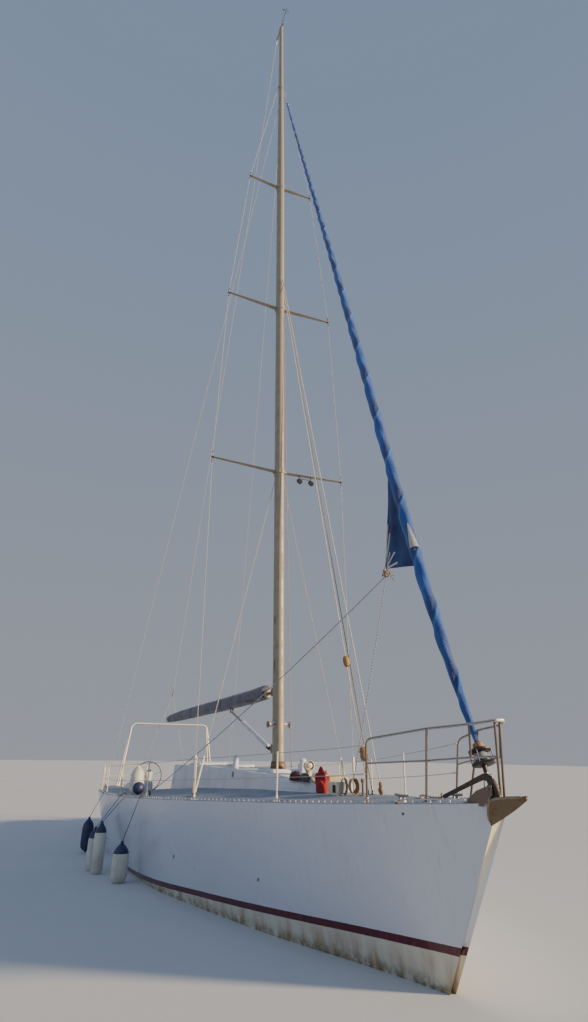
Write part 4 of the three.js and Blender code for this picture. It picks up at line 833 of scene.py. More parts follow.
# rails that the sliding hatch runs on
railAft = np.array([8.75, 8.8, 9.0, 9.6, 10.2, 10.39])
profile = np.array([[0.35, -0.02], [0.382, -0.02], [0.382, 0.001], [0.378, 0.0052], [0.354, 0.0052],
    [0.35, 0.001]])
hatchRail = grid(at(railAft[:, None], profile[:, 0], roofZ(railAft[:, None], profile[:, 0]) + profile[:, 1]))
roofShapes += [hatchRail, mirrored(hatchRail)]
piece("coachroof", roofShapes, houseWhite, replaces="coachroof", slot="deck_gelcoat", angle=40)

# non-slip panels on the roof, a few millimetres thick, with rounded corners
panels = [(3.82, 4.46, 0.05, 0.44), (3.82, 4.46, -0.44, -0.05), (5.9, 6.96, 0.06, 0.54),
    (5.9, 6.96, -0.54, -0.06), (7.66, 8.66, 0.06, 0.62), (7.66, 8.66, -0.62, -0.06), (8.8, 9.44, 0.44, 0.68),
    (8.8, 9.44, -0.68, -0.44)]


def panelOn(heightAt, start, end, inner, outer, thick=0.004, corner=0.06, steps=9):
    # a rounded rectangle laid on a surface: its rings shrink to the middle, each at the surface's height
    outline = roundedRect((end - start) / 2, abs(outer - inner) / 2, min(corner, abs(outer - inner) / 2.2), 6)
    scale = np.array([1, 1, 0.985] + list(np.linspace(0.9, 0.02, steps)))[:, None]
    aft, side = (start + end) / 2 + outline[:, 0] * scale, (inner + outer) / 2 + outline[:, 1] * scale
    lift = np.array([-0.004, thick * 0.6, thick] + [thick] * steps)[:, None]
    return grid(at(aft, side, heightAt(aft, side) + lift))


piece("roof_nonslip", [panelOn(roofZ, *p) for p in panels], deckPaint, angle=50)


def smokedLight(start, end, low, high, sign, corner=0.4):
    # a rounded outline carried onto the sloping house side, its edge proud by 6 mm
    outline = roundedRect((end - start) / 2, (high - low) / 2, min(high - low, end - start) * corner, 7)
    scale = np.array([1, 1, 0.97, 0.6, 0.2, 0.02])[:, None]
    aft, z = (start + end) / 2 + outline[:, 0] * scale, (low + high) / 2 + outline[:, 1] * scale
    base, edge, edgeZ, _ = np.moveaxis(roofAt(aft), -1, 0)
    lean = np.clip((z - 1.35) / (edgeZ - 1.35), 0, 1)
    out = base + (edge - base) * lean + np.array([-0.01, 0.003, 0.006, 0.006, 0.006, 0.006])[:, None]
    return grid(at(aft, sign * out, z))


# one dark port a side and shallow moulded panels with seams between them
panelEnds = [(2.86, 3.5), (3.86, 4.5), (4.56, 5.2), (5.26, 5.7), (6.0, 6.9), (6.96, 7.9), (7.96, 8.9),
    (8.96, 9.5)]
piece("windows", [smokedLight(5.8, 5.9, 1.8, 1.915, sign) for sign in (1, -1)], acrylic, slot="acrylic")
piece("house_panels",
    [smokedLight(a, b, roofAt((a + b) / 2)[2] - 0.11, roofAt((a + b) / 2)[2] - 0.022, sign, 0.05)
    for a, b in panelEnds for sign in (1, -1)], houseWhite)

# Hatches and washboards
for name, (aft, long, wide) in lidFrames.items():
    top = lidLevels[name] + 0.0003
    rings = [(1, 0), (1, 0.026), (0.985, 0.033), (0.94, 0.034)]
    frameOutline = roundedRect(long, wide, 0.05)
    hingeAft, hingeZ = aft - long + 0.012, top + 0.03
    hinge = [rod(at(hingeAft, s * wide * 0.55 - 0.03, hingeZ), at(hingeAft, s * wide * 0.55 + 0.03, hingeZ),
        0.0035, 10, 2) for s in (1, -1)]
    lid = stacked(aft, 0, [(frameOutline * s, top + z) for s, z in rings])
    paneOutline = roundedRect(long - 0.05, wide - 0.05, 0.04)
    paneRings = [(1, 0.033), (1, 0.0345), (0.99, 0.035), (0.1, 0.035)]
    pane = stacked(aft, 0, [(paneOutline * s, top + z) for s, z in paneRings], 1)
    piece(name + "_lid", [lid, pane, *hinge], [railAlloy, acrylic, steel], name, name, "acrylic")
slideAft = np.array([9.48, 9.5, 9.6, 9.9, 10.2, 10.36, 10.385])
across = np.linspace(1, -1, 17)
rise = np.array([0.045, 0.054, 0.058, 0.058, 0.058, 0.054, 0.045])[:, None]
edgeDrop = 0.012 * np.clip((np.abs(across) - 0.86) / 0.14, 0, 1) ** 2
topSkin = at(slideAft[:, None], 0.385 * across, roofZ(slideAft[:, None], 0.385 * across) + rise - edgeDrop)
underSkin = at(slideAft[:, None], 0.385 * across[::-1], roofZ(slideAft[:, None], 0.385 * across[::-1])
    + 0.006)
slide = [grid(np.concatenate([topSkin, underSkin], 1))]
slide.append(tube(np.array([at(9.56, s, roofZ(9.56, s) + 0.0585) for s in np.linspace(-0.16, 0.16, 9)]),
    0.006, 8, mat=1))
piece("sliding_hatch", slide, [houseWhite, steel], "companionway_hatch", "companionway_hatch", "deck_gelcoat")
boards = {"top": 1.962, "gap": 0.006, "count": 3}
boardEdges = np.linspace(deckZ(10.33, 0) + 0.0003, boards["top"], boards["count"] + 1)
boardShapes = [block(at(10.33, 0.319, low), at(10.365, -0.319, high - boards["gap"]))
    for low, high in zip(boardEdges[:-1], boardEdges[1:])]
piece("washboards_dressed", boardShapes, acrylic, replaces="washboards", slot="acrylic", bevel=0.004)
print("coachroof ready")

# Toe rail: an upright extrusion with slots along it. Posts stand between its foot band and its lip.
toe = {"from": -0.7, "to": 16.3, "inset": 0.014, "thick": 0.012, "pitch": 0.113, "slot": 0.075}
cleatPlaces = [0.15, 8.6, 15.7]


def toeRail(sign):
    # foot band and lip along the sheer, a post at every pitch between them, and cleats on their plates
    aft = np.linspace(toe["from"], toe["to"], 240)
    outer = sheerHalf(aft) - toe["inset"]
    z = deckZ(aft, outer)
    band = lambda out, inn, low, high: grid(at(aft[:, None],
        sign * np.stack([outer + out, outer + out, outer - inn, outer - inn], 1),
        z[:, None] + np.array([low, high, high, low])))
    shapes = [band(0.0, toe["thick"], -0.02, 0.012), band(0.002, toe["thick"] + 0.002, 0.037, 0.05)]
    middle = np.arange(toe["from"] + 0.05, toe["to"], toe["pitch"])
    half = (toe["pitch"] - toe["slot"]) / 2
    ends = middle[:, None] + np.array([-half, half])
    out = sheerHalf(ends) - toe["inset"]
    base = deckZ(ends, out)
    # eight corners a post, six faces
    section = ((0.001, 0.01), (0.001, 0.039), (0.011, 0.039), (0.011, 0.01))
    corner = np.stack([at(ends, sign * (out - d), base + h) for d, h in section], 1)
    v = corner.reshape(-1, 3)
    box = np.array([0, 2, 4, 6, 1, 7, 5, 3, 0, 1, 3, 2, 2, 3, 5, 4, 4, 5, 7, 6, 6, 7, 1, 0])
    idx = (np.arange(len(middle))[:, None] * 8
        + (box if sign > 0 else box.reshape(-1, 4)[:, ::-1].ravel())).ravel()
    shapes.append(shapeOf(v, idx, np.full(len(idx) // 4, 4)))
    for spot in cleatPlaces:
        edge, side = sheerHalf(spot) - 0.02, sheerHalf(spot) - 0.13
        edgeZ, low = deckZ(spot, edge), deckZ(spot, side)
        shapes.append(block(at(spot - 0.06, sign * (edge - 0.15), edgeZ - 0.02),
            at(spot + 0.06, sign * edge, edgeZ + 0.024), 0.012, 1))
        for foot in (-0.04, 0.04):
            legRows = [(0.028, -0.02), (0.026, 0.01), (0.015, 0.03), (0.013, 0.055)]
            shapes.append(spun(legRows, at(spot + foot, sign * side, low), mat=1, sides=14))
        s = np.linspace(-1, 1, 17)
        horn = at(spot + 0.15 * s, sign * side, low + 0.06 + 0.012 * s ** 2)
        shapes.append(tube(horn, 0.017 * np.sqrt(1 - 0.8 * s ** 4), 12, mat=1))
    return shapes


for sign, label in bothSides:
    piece(f"toe_rail_{label}_slotted", toeRail(sign), [railAlloy, steel], replaces=f"toe_rail_{label}",
        slot="anodised")

# Guard rails: stanchions with sockets and caps, two wires between the pulpit and the stern rail
railHeight, lowWire, railInset = 0.64, 0.32, 0.075
stanchions, pushpitFrom = [2.3, 4.45, 6.65, 8.8, 10.8, 12.5, 14.2], 15.3
lastLeg = {1: (0.604, 0.59), -1: (0.264, 0.02)}  # foot and top of the pulpit's last leg, starboard and port
pulpitTop = 2.4


def railPoint(aft, sign, up):
    # 75 mm inside the sheer, a height over it
    return at(aft, sign * (sheerHalf(aft) - railInset), sheerZ(aft) + up)


def lastLegAft(sign, z):
    # where the leg stands at a height, straight from its foot to its top
    foot, top = lastLeg[sign]
    return foot + (top - foot) * (z - 1.66) / (pulpitTop - 1.66)


def guardRail(sign):
    # stanchions in their sockets with caps and wire eyes, and two wires with their end fittings
    shapes = []
    for aft in stanchions:
        foot = railPoint(aft, sign, 0.0)
        foot[2] = deckZ(aft, sheerHalf(aft) - railInset)
        top = railPoint(aft, sign, railHeight + 0.012)
        shapes.append(tube(spread(foot, top, 6), 0.0125, 16))
        shapes.append(spun([(0.042, -0.004), (0.042, 0.006), (0.036, 0.01), (0.019, 0.014), (0.018, 0.075),
            (0.0145, 0.08)], foot, (0, 0, 1), 20))
        shapes.append(spun([(0.0155, -0.03), (0.0165, -0.01), (0.015, 0.004), (0.008, 0.008)], top, (0, 0, 1),
            16))
        for up in (railHeight, lowWire):
            shapes.append(spun([(0.0145, -0.012), (0.0165, -0.006), (0.0165, 0.006), (0.0145, 0.012)],
                railPoint(aft, sign, up), (0, 0, 1), 16))
    for up in (railHeight, lowWire):
        stops = np.array([lastLegAft(sign, sheerZ(0.6) + up) + 0.03, *stanchions, pushpitFrom - 0.026])
        ends = railPoint(stops, sign, up)
        run = np.vstack([hanging(a, b, 0.006, 6)[:-1] for a, b in zip(ends[:-1], ends[1:])] + [ends[-1:]])
        shapes.append(tube(run, 0.0042, 8, mat=1))
        for end, toward in ((ends[0], ends[1]), (ends[-1], ends[-2])):
            axis = unit(toward - end)
            shapes.append(spun([(0.006, 0.0), (0.009, 0.02), (0.009, 0.13), (0.0055, 0.15), (0.0055, 0.2)],
                end, axis, 14))
    return shapes


for sign, label in bothSides:
    dressed(f"guard_rail_{label}", guardRail(sign), [sunlitSteel, wireSteel], "stainless")

# Pulpit: top rail round the bow, mid rails and legs, its last leg further forward to port
pulpitTube = {"rail": 0.0145, "leg": 0.0138, "front": 0.0128, "mid": 0.0108}


def pulpitSide(sign):
    # top rail of one side: up the last leg, forward, and round to the middle of the bow
    foot, end = lastLeg[sign]
    leg = [railPoint(foot, sign, 0.0), at(end, sign * (sheerHalf(end) - railInset), pulpitTop),
        at(-0.4, sign * 0.352, 2.492)]
    front = [leg[2], at(-0.93, sign * 0.2, 2.52), at(-1.165, sign * 0.06, 2.55), at(-1.165, 0, 2.55)]
    return np.vstack([bent(leg, 0.1)[:-1], bent(front, 0.05)])


pulpitShapes = [tube(np.vstack([pulpitSide(1), pulpitSide(-1)[-2::-1]]), pulpitTube["rail"], 16)]
for sign in (1, -1):
    innerFoot, innerTop = at(-0.21, sign * 0.292, 1.76), at(-0.4, sign * 0.352, 2.492)
    pulpitShapes.append(rod(innerFoot, innerTop, pulpitTube["leg"], 16))
    pulpitShapes.append(rod(at(-0.9, sign * 0.19, 2.205), at(-0.93, sign * 0.2, 2.52), pulpitTube["mid"], 14))
    pulpitShapes.append(rod(at(-1.075, sign * 0.022, 1.82), at(-1.13, sign * 0.032, 2.545),
        pulpitTube["front"], 16))
    midEnd = lastLegAft(sign, 2.128)
    mid = [at(midEnd, sign * (sheerHalf(midEnd) - railInset), 2.128), at(-0.23, sign * 0.312, 2.166),
        at(-0.9, sign * 0.19, 2.205), at(-1.102, sign * 0.034, 2.217)]
    pulpitShapes.append(tube(bent(mid, 0.03), pulpitTube["mid"], 14))
    for foot, legDir in ((railPoint(lastLeg[sign][0], sign, 0.0), (0, 0, 1)),
            (innerFoot, innerTop - innerFoot)):
        foot[2] = deckZ(stemX - foot[0], foot[1])
        pulpitShapes.append(spun([(0.046, -0.003), (0.046, 0.006), (0.04, 0.01), (0.022, 0.013), (0.02, 0.05),
            (0.0155, 0.056)], foot, legDir, 20))
seatOutline = roundedRect(0.062, 0.06, 0.02)
seatRows = [(0.97, 2.543), (1, 2.547), (1, 2.562), (0.97, 2.566)]
pulpitShapes.append(stacked(-1.122, 0, [(seatOutline * k, z) for k, z in seatRows], 1))
dressed("pulpit", pulpitShapes, [steel, creamPlastic], "stainless")

# Stern rails and arch
for sign, label in bothSides:
    def railCorners(up):
        # one rail from its forward foot, up, aft round the quarter and down beside the gate
        return [railPoint(pushpitFrom, sign, 0.0), railPoint(pushpitFrom, sign, up),
            at(16.38, sign * 1.84, 1.19 + up), at(16.38, sign * 0.52, 1.215 + up),
            at(16.38, sign * 0.52, 1.25)]
    shapes = [tube(bent(railCorners(railHeight), 0.11), 0.0148, 16),
        tube(bent(railCorners(lowWire)[1:4], 0.11), 0.0118, 14),
        rod(at(16.2, sign * 1.878, 1.22), at(16.2, sign * 1.878, 1.81), 0.0138, 14)]
    for foot in (railPoint(pushpitFrom, sign, 0.0), at(16.38, sign * 0.52, 1.2), at(16.2, sign * 1.878, 1.2)):
        foot[2] = deckZ(stemX - foot[0], foot[1])
        shapes.append(spun([(0.044, -0.003), (0.044, 0.008), (0.02, 0.013), (0.019, 0.05), (0.0155, 0.056)],
            foot, (0, 0, 1), 18))
    dressed(f"stern_rail_{label}", shapes, sunlitSteel, "stainless")
arch = {"half": 1.32, "foot": 1.58, "top": 3.2, "bar": 0.024}
archShapes = []
for aft, foot in ((15.59, 15.32), (15.71, 15.86)):
    corners = [at(foot, arch["foot"], 1.2), at(aft, arch["half"], arch["top"]),
        at(aft, -arch["half"], arch["top"]), at(foot, -arch["foot"], 1.2)]
    archShapes.append(tube(bent(corners, 0.18, 10), arch["bar"], 20))
    for sign in (1, -1):
        archShapes.append(spun([(0.062, -0.002), (0.062, 0.008), (0.054, 0.012), (0.03, 0.018), (0.028, 0.07),
            (0.0245, 0.078)], onDeck(foot, sign * arch["foot"]), (0, 0, 1), 22))
archShapes += [rod(at(15.59, u * 1.13, arch["top"]), at(15.71, u * 1.13, arch["top"]), 0.0158, 14)
    for u in (-1, -0.5, 0, 0.5, 1)]
dressed("stern_arch", archShapes, sunlitSteel, "stainless")
print("rails ready")

# Mast: oval section leaning aft, plain to the upper spreaders and tapered above, with a track up its aft face
mastChord, mastWidth, headScale, houndsZ = 0.3, 0.2, 0.58, 24.1


def mastAft(z):
    # how far aft the mast's middle stands at a height
    return mastFootAft + (z - mastFootZ) * math.tan(rake)


def mastRing(z, grow=0.0, sides=48):
    # |cos|^0.85 half chord and |sin|^0.85 half width, each with its sign
    z = np.asarray(z, float)[:, None]
    scale = 1 + (headScale - 1) * np.clip((z - taperZ) / (mastTopZ - taperZ), 0, 1)
    turn = circle(sides)[None, :]
    bow = lambda v: squared(v, 0.85)
    return at(mastAft(z) + bow(np.cos(turn)) * (mastChord / 2 * scale + grow),
        bow(np.sin(turn)) * (mastWidth / 2 * scale + grow), z)


mastZ = np.concatenate([np.linspace(2.0, taperZ, 60), np.linspace(taperZ, mastTopZ, 34)[1:]])
mastShapes = [grid(mastRing(mastZ))]
for side in (-0.013, 0.013):
    z = np.linspace(3.0, 27.7, 60)
    scale = 1 + (headScale - 1) * np.clip((z - taperZ) / (mastTopZ - taperZ), 0, 1)
    spine = mastAft(z) + mastChord / 2 * scale
    lip = np.array([[-0.02, 0.0045], [0.01, 0.0045], [0.01, -0.0045], [-0.02, -0.0045]])
    mastShapes.append(grid(at(spine[:, None] + lip[:, 0], side + lip[:, 1], z[:, None])))
# halyard slots, each filled with a black sheet as painted shade for its opening, and exit plates on the faces
slotShapes = []
for z, side, long in ((3.9, 1, 0.16), (4.3, -1, 0.16), (4.8, 1, 0.14), (3.4, -1, 0.14), (5.2, -1, 0.14)):
    outline = roundedRect(long / 2, 0.016, 0.015, 6)
    turn = outline[:, 1] / 0.1
    plateAt = lambda s, lift: at(mastAft(z) - 0.035 + outline[:, 1] * s, side * (0.0985 + lift),
        z + outline[:, 0] * s)
    slotShapes.append(grid(np.stack([plateAt(1.3, -0.01), plateAt(1.3, 0.002), plateAt(1.0, 0.003)]), mat=1))
    slotShapes.append(grid(np.stack([plateAt(1.0, -0.01), plateAt(0.98, 0.0035), plateAt(0.1, 0.0035)]),
        mat=2))


def winch(centre, axis, scale, mat=1):
    # skirted base, waisted drum with a ribbed grip, self-tailing jaws and a cap
    rows = [(0.095, 0), (0.095, 0.012), (0.09, 0.02), (0.078, 0.032), (0.07, 0.055), (0.064, 0.08),
        (0.062, 0.11), (0.066, 0.135), (0.074, 0.15), (0.078, 0.156), (0.07, 0.16), (0.07, 0.164),
        (0.084, 0.168), (0.084, 0.176), (0.066, 0.18), (0.066, 0.184), (0.082, 0.188), (0.078, 0.194),
        (0.04, 0.198), (0.018, 0.2)]
    return spun([(r * scale, h * scale) for r, h in rows], centre, axis, 36, mat)


def forkOn(level):
    # two plates and a pin that a toggle swings on, on a back plate fixed to the mast
    lean = np.array([-math.sin(rake), 0, math.cos(rake)])
    middle = at(gooseAft, 0, gooseZ) + lean * level
    shapes = [rod(middle - lean * 0.062, middle + lean * 0.062, 0.012, 16, 1)]
    for d in (-0.048, 0.048):
        c = middle + lean * d
        shapes.append(plate(roundedRect(0.1, 0.032, 0.03, 6) + [0.074, 0], 0.012, c, (1, 0, 0), (0, 1, 0), 1))
    back = middle + np.array([0.1, 0, 0])
    shapes.append(block(back - [0.04, 0.04, 0.08], back + [0.03, 0.04, 0.08], 0.012, 1))
    return shapes


mastShapes += slotShapes + forkOn(0) + forkOn(-vangDrop)
for sign in (1, -1):
    centre = at(mastAft(2.76) - 0.02, sign * 0.088, 2.76)
    mastShapes.append(winch(centre, (0, -sign, 0), 0.75, 1))
    mastShapes.append(spun([(0.066, -0.035), (0.075, -0.01), (0.075, 0.004)], centre, (0, -sign, 0), 28, 1))
dressed("mast", mastShapes, [mastAlloy, steel, blackPlastic], "anodised", angle=40)

collarZ = np.array([1.9805, 1.995, 2.02, 2.055, 2.085, 2.1, 2.108])
collarGrow = np.array([0.034, 0.036, 0.03, 0.024, 0.022, 0.014, 0.004])
collar = np.stack([mastRing([z], g)[0] for z, g in zip(collarZ, collarGrow)])
clampZ = 2.045
dressed("mast_collar",
    [grid(np.concatenate([collar, mastRing([2.078], 0.0005), mastRing([1.9605], 0.0005)]), loop=True),
    grid(np.stack([mastRing([z], g)[0] for z, g in ((clampZ - 0.009, 0.022), (clampZ - 0.008, 0.027),
    (clampZ + 0.008, 0.027), (clampZ + 0.009, 0.022))]), mat=1)], [brownBoot, steel], "mast_boot")

# Spreaders: foil arms rising to their tips, with a collar on the mast, root brackets and tip boots
spreaders = {"lower": (8.38, 1.625, 0.15), "middle": (13.53, 1.455, 0.135), "upper": (18.6, 0.99, 0.12)}
tipRise = 0.07
for name, (z, half, chord) in spreaders.items():
    side = np.concatenate([-np.linspace(half, 0.02, 16), np.linspace(0.02, half, 16)])
    share = np.abs(side) / half
    size = chord * (1 - 0.45 * share)
    turn = circle(20)
    u, v = 0.5 * np.cos(turn) - 0.04 * np.sin(turn) ** 2, 0.0135 * np.sin(turn) * (1 + 0.25 * np.cos(turn))
    arm = at(mastAft(z) + size[:, None] * u, side[:, None], z + tipRise * share[:, None] + v)
    shapes = [grid(arm)]
    shapes.append(grid(np.stack([mastRing([z + dz], g)[0] for dz, g in ((-0.07, 0.004), (-0.064, 0.013),
        (0.064, 0.013), (0.07, 0.004))])))
    for sign in (1, -1):
        tip = at(mastAft(z), sign * half, z + tipRise)
        shapes.append(spun([(0.012, -0.035), (0.024, -0.025), (0.027, 0), (0.024, 0.025), (0.012, 0.035)],
            tip, (0, -sign, 0), 18, 1))
        root = at(mastAft(z), sign * 0.115, z)
        shapes.append(block(root - [0.07, 0.03, 0.022], root + [0.07, 0.03, 0.026], 0.02, 0))
    dressed(f"spreaders_{name}", shapes, [mastAlloy, blackRubber], "anodised")

# Two floodlights under the port lower spreader
lampZ = 8.38
lampAft = mastAft(lampZ)
lampShapes = []
for side in (0.52, 0.82):
    share = side / 1.625
    hang = at(lampAft, -side, lampZ + tipRise * share - 0.012)
    lampShapes.append(tube([hang, at(lampAft, -side, lampZ - 0.05), at(lampAft, -side, lampZ - 0.1)], 0.011,
        12))
    yoke = at(lampAft, -side, lampZ - 0.125)
    arc = np.linspace(-math.pi / 2, math.pi / 2, 15)
    lampShapes.append(tube(yoke + np.stack([0 * arc, 0.066 * np.sin(arc), 0.066 * np.cos(arc) - 0.02], -1),
        0.005, 8))
    aim = unit(np.array([0.8, 0, -0.6]))
    lampShapes.append(spun([(0.028, -0.085), (0.044, -0.08), (0.052, -0.05), (0.058, 0.0), (0.06, 0.035),
        (0.062, 0.042), (0.062, 0.052), (0.055, 0.054)], yoke, aim, 26))
    lampShapes.append(spun([(0.054, 0.05), (0.05, 0.056), (0.02, 0.06)], yoke, aim, 26, 1))
lampShapes.append(block(at(lampAft - 0.006, -0.52, lampZ - 0.06), at(lampAft + 0.006, -0.82, lampZ - 0.045),
    0.0))
dressed("floodlights", lampShapes, [blackPlastic, acrylic], "black_fittings")

# Masthead crane, aerial, wind instruments and lamp
headAft, craneZ = mastAft(mastTopZ), mastTopZ + 0.0003
craneOutline = np.array([[-0.19, 0.0], [0.47, 0.03], [0.47, 0.058], [0.2, 0.06], [-0.15, 0.06],
    [-0.19, 0.045]])
headShapes = [plate(craneOutline * [-1, 1], 0.05, at(headAft, 0, craneZ), (1, 0, 0), (0, 0, 1), 1)]
for side in (-0.028, 0.028):
    headShapes.append(plate(craneOutline * [-1, 1], 0.006, at(headAft, side, craneZ), (1, 0, 0), (0, 0, 1),
        1))
headShapes.append(tube(spread(at(headAft - 0.06, 0, craneZ + 0.04), at(headAft - 0.06, 0, craneZ + 0.9), 8),
    np.linspace(0.007, 0.003, 8), 10))
headShapes.append(spun([(0.018, 0), (0.018, 0.05), (0.01, 0.09), (0.007, 0.1)],
    at(headAft - 0.06, 0, craneZ + 0.05), (0, 0, 1), 16))
armPath = bent([at(headAft + 0.04, 0, craneZ + 0.04), at(headAft - 0.42, 0, craneZ + 0.26),
    at(headAft - 0.42, 0, craneZ + 0.42)], 0.06)
headShapes.append(tube(armPath, 0.0085, 12))
vane = at(headAft - 0.42, 0, craneZ + 0.4)
headShapes.append(rod(vane + [0, 0.15, 0], vane - [0, 0.15, 0], 0.005, 10))
for k in range(3):
    cupTurn = rotation((0, 0, 1), k * 2.0944 + 0.4)
    cup = vane + cupTurn @ np.array([0.075, 0, -0.03])
    headShapes.append(spun([(0.004, -0.018), (0.014, -0.012), (0.018, 0.0), (0.02, 0.01)], cup,
        cupTurn @ np.array([0, 1, 0]), 12))
    headShapes.append(rod(vane + [0, 0, -0.03], cup, 0.0025, 6))
headShapes.append(plate(np.array([[0, 0], [0.05, 0.03], [0.09, 0.035], [0.09, -0.035], [0.05, -0.03]]), 0.002,
    vane + [0.02, 0.12, 0], (-1, 0.2, 0), (0, 0, 1)))
headShapes.append(spun([(0.036, 0), (0.038, 0.01), (0.03, 0.014), (0.03, 0.02), (0.034, 0.022),
    (0.034, 0.085), (0.036, 0.088), (0.028, 0.108)], at(headAft + 0.12, 0, craneZ + 0.055), (0, 0, 1), 22))
dressed("masthead", headShapes, [blackPlastic, mastAlloy], "black_fittings")
print("mast ready")

# Headsail rolled round its stay: the roll's outline down the stay, with the strip's edge spiralling round it
tack, furlTop = at(-0.84, 0, 2.19), at(5.25, 0, 22.1)
stayDir = unit(furlTop - tack)


def onStay(d):
    # d metres up the stay from the tack
    return tack + np.asarray(d, float)[..., None] * stayDir


# distance up the stay, radius, and how far the roll hangs aft of the straight line
rollRows = np.array([[0.178, 0.034, 0], [0.42, 0.046, 0.018], [0.7, 0.057, 0.046], [1.22, 0.07, 0.072],
    [1.9, 0.082, 0.098], [3, 0.085, 0.11], [4.54, 0.085, 0.106], [7.12, 0.086, 0.056], [10.86, 0.076, 0.028],
    [16.79, 0.057, 0.02], [19.8, 0.046, 0.008], [20.7, 0.036, 0]])
sagDir = np.array([-stayDir[2], 0, stayDir[0]])


def onRoll(d):
    # the stay's line with the roll's sag
    d = np.asarray(d, float)
    return onStay(d) + np.interp(d, rollRows[:, 0], rollRows[:, 2])[..., None] * sagDir


sailRoll = {"pitch": 0.92, "step": 0.016}
d = np.linspace(rollRows[0, 0], rollRows[-1, 0], 900)
turn = circle(72)
radius = np.interp(d, rollRows[:, 0], rollRows[:, 1])
side, up, _ = frameOf(stayDir)
phase = (turn[None, :] / (2 * math.pi) - d[:, None] / sailRoll["pitch"]) % 1
# each wrap starts as a step of cloth and thins to nothing over one turn; small puckers run across it
wrap = np.where(phase < 0.06, phase / 0.06, 1 - (phase - 0.06) / 0.94)
pucker = (0.0022 * np.sin(2 * math.pi * (phase * 3 + d[:, None] * 2.1))
    + 0.0016 * np.sin(turn * 5 + d[:, None] * 9.0))
bulge = 0.004 * np.sin(d[:, None] * 2 * math.pi / 0.46 + 2 * turn)
size = ((radius[:, None] - sailRoll["step"]) + sailRoll["step"] * wrap + pucker
    + bulge * (radius[:, None] > 0.055))
size = np.minimum(size, radius[:, None] + 0.004)
rollSurface = (onRoll(d)[:, None] + size[..., None] * (np.cos(turn)[None, :, None] * side
    + np.sin(turn)[None, :, None] * up))


def sailFinish():
    # ultraviolet cloth: blue strip edge to edge of each wrap, with painted shade where it tucks under the next
    # and a painted highlight along each wrap's edge, faded at the crown
    look = Look("stripCloth", (0.012, 0.1, 0.42), 0.7, Sheen_Weight=0.25, Sheen_Roughness=0.5)
    wrapShare = look.add("Attribute", {}, {"attribute_name": "wrap"}, 2)
    where = look.place()
    cloud = look.noise(look.place((1, 1, 0.35)), 3.2, 6, 0.6)
    tone = look.mixed(look.level(cloud, 0.35, 0.65), (0.006, 0.052, 0.25), (0.011, 0.095, 0.4))
    # painted shade in the tuck under the next wrap, then a painted highlight on the wrap's raised edge
    tone = look.mixed(look.level(wrapShare, 0.45, 0.12, 0, 0.85), tone, (0.006, 0.028, 0.145))
    tone = look.mixed(look.level(wrapShare, 0.9, 1.0, 0, 0.5), tone, (0.05, 0.26, 0.66))
    tone = look.mixed(look.level(look.noise(where, 18, 5), 0.6, 0.8, 0, 0.3), tone, (0.18, 0.26, 0.42))
    uv = look.place(uv=True)
    u, v = (look.part(uv, k) for k in (0, 1))
    weave = look.times(*(look.combine("SINE", look.times(axis, 1500.0), 0) for axis in (u, v)))
    look.set("Base Color", tone)
    look.set("Roughness", look.level(cloud, 0.3, 0.7, 0.6, 0.82))
    folds = look.noise(look.place((1, 1, 0.5)), 26, 5, 0.6, 0.6)
    look.relief(look.plus(look.times(folds, 10), weave), 0.0008, 0.7)
    return look.mat


blueStrip = sailFinish()
rollObj = piece("furled_sail_roll", [grid(rollSurface)], blueStrip, replaces="furled_genoa",
    slot="sail_cloth_blue", angle=60)
attribute = rollObj.data.attributes.new("wrap", "FLOAT", "POINT")
attribute.data.foreach_set("value", np.append(wrap.ravel(), [1, 1]).astype(np.float32))

# Furler drum, its cage, and the swivel above the roll
drumProfile = [(0.01, -0.13), (0.024, -0.128), (0.026, -0.062), (0.112, -0.058), (0.12, -0.053),
    (0.12, -0.037), (0.112, -0.033), (0.066, -0.02), (0.062, 0.0), (0.064, 0.055), (0.11, 0.07),
    (0.12, 0.076), (0.12, 0.092), (0.11, 0.096), (0.036, 0.108), (0.034, 0.165), (0.02, 0.17)]
drumShapes = [spun(drumProfile, tack, stayDir, 44)]
line = np.linspace(0, 9 * 2 * math.pi, 260)
lineAt = (tack + (np.linspace(-0.014, 0.052, 260)[:, None]) * stayDir
    + 0.07 * (np.cos(line)[:, None] * side + np.sin(line)[:, None] * up))
drumShapes.append(tube(lineAt, 0.0052, 8, mat=1))
for k in range(4):
    a = k * math.pi / 2 + 0.6
    out = math.cos(a) * side + math.sin(a) * up
    drumShapes.append(tube([tack - 0.05 * stayDir + 0.117 * out, tack + 0.084 * stayDir + 0.117 * out], 0.006,
        10, mat=2))
drumShapes.append(spun([(0.034, 0.1), (0.06, 0.115), (0.058, 0.15), (0.036, 0.168)], tack, stayDir, 30, 3))
piece("furler_fine", drumShapes, [darkMetal, blueRope, steel, brownBlock], replaces="furler_drum",
    slot="black_fittings")

staySocket = at(mastAft(houndsZ) - 0.07, 0, houndsZ)
stayShapes = [spun([(0.02, 0), (0.032, 0.012), (0.034, 0.06), (0.028, 0.075), (0.034, 0.09), (0.034, 0.17),
    (0.022, 0.195)], onStay(20.7003), stayDir, 24, 1), tube([onStay(20.72), onStay(20.9), staySocket], 0.0068,
    10)]
stayShapes.append(spun([(0.011, 0.02), (0.013, 0.05), (0.013, 0.14), (0.008, 0.16)], staySocket,
    unit(onStay(20.9) - staySocket), 16, 1))
piece("forestay_fine", stayShapes, [wireSteel, steel], replaces="forestay_top", slot="stainless")
print("headsail ready")

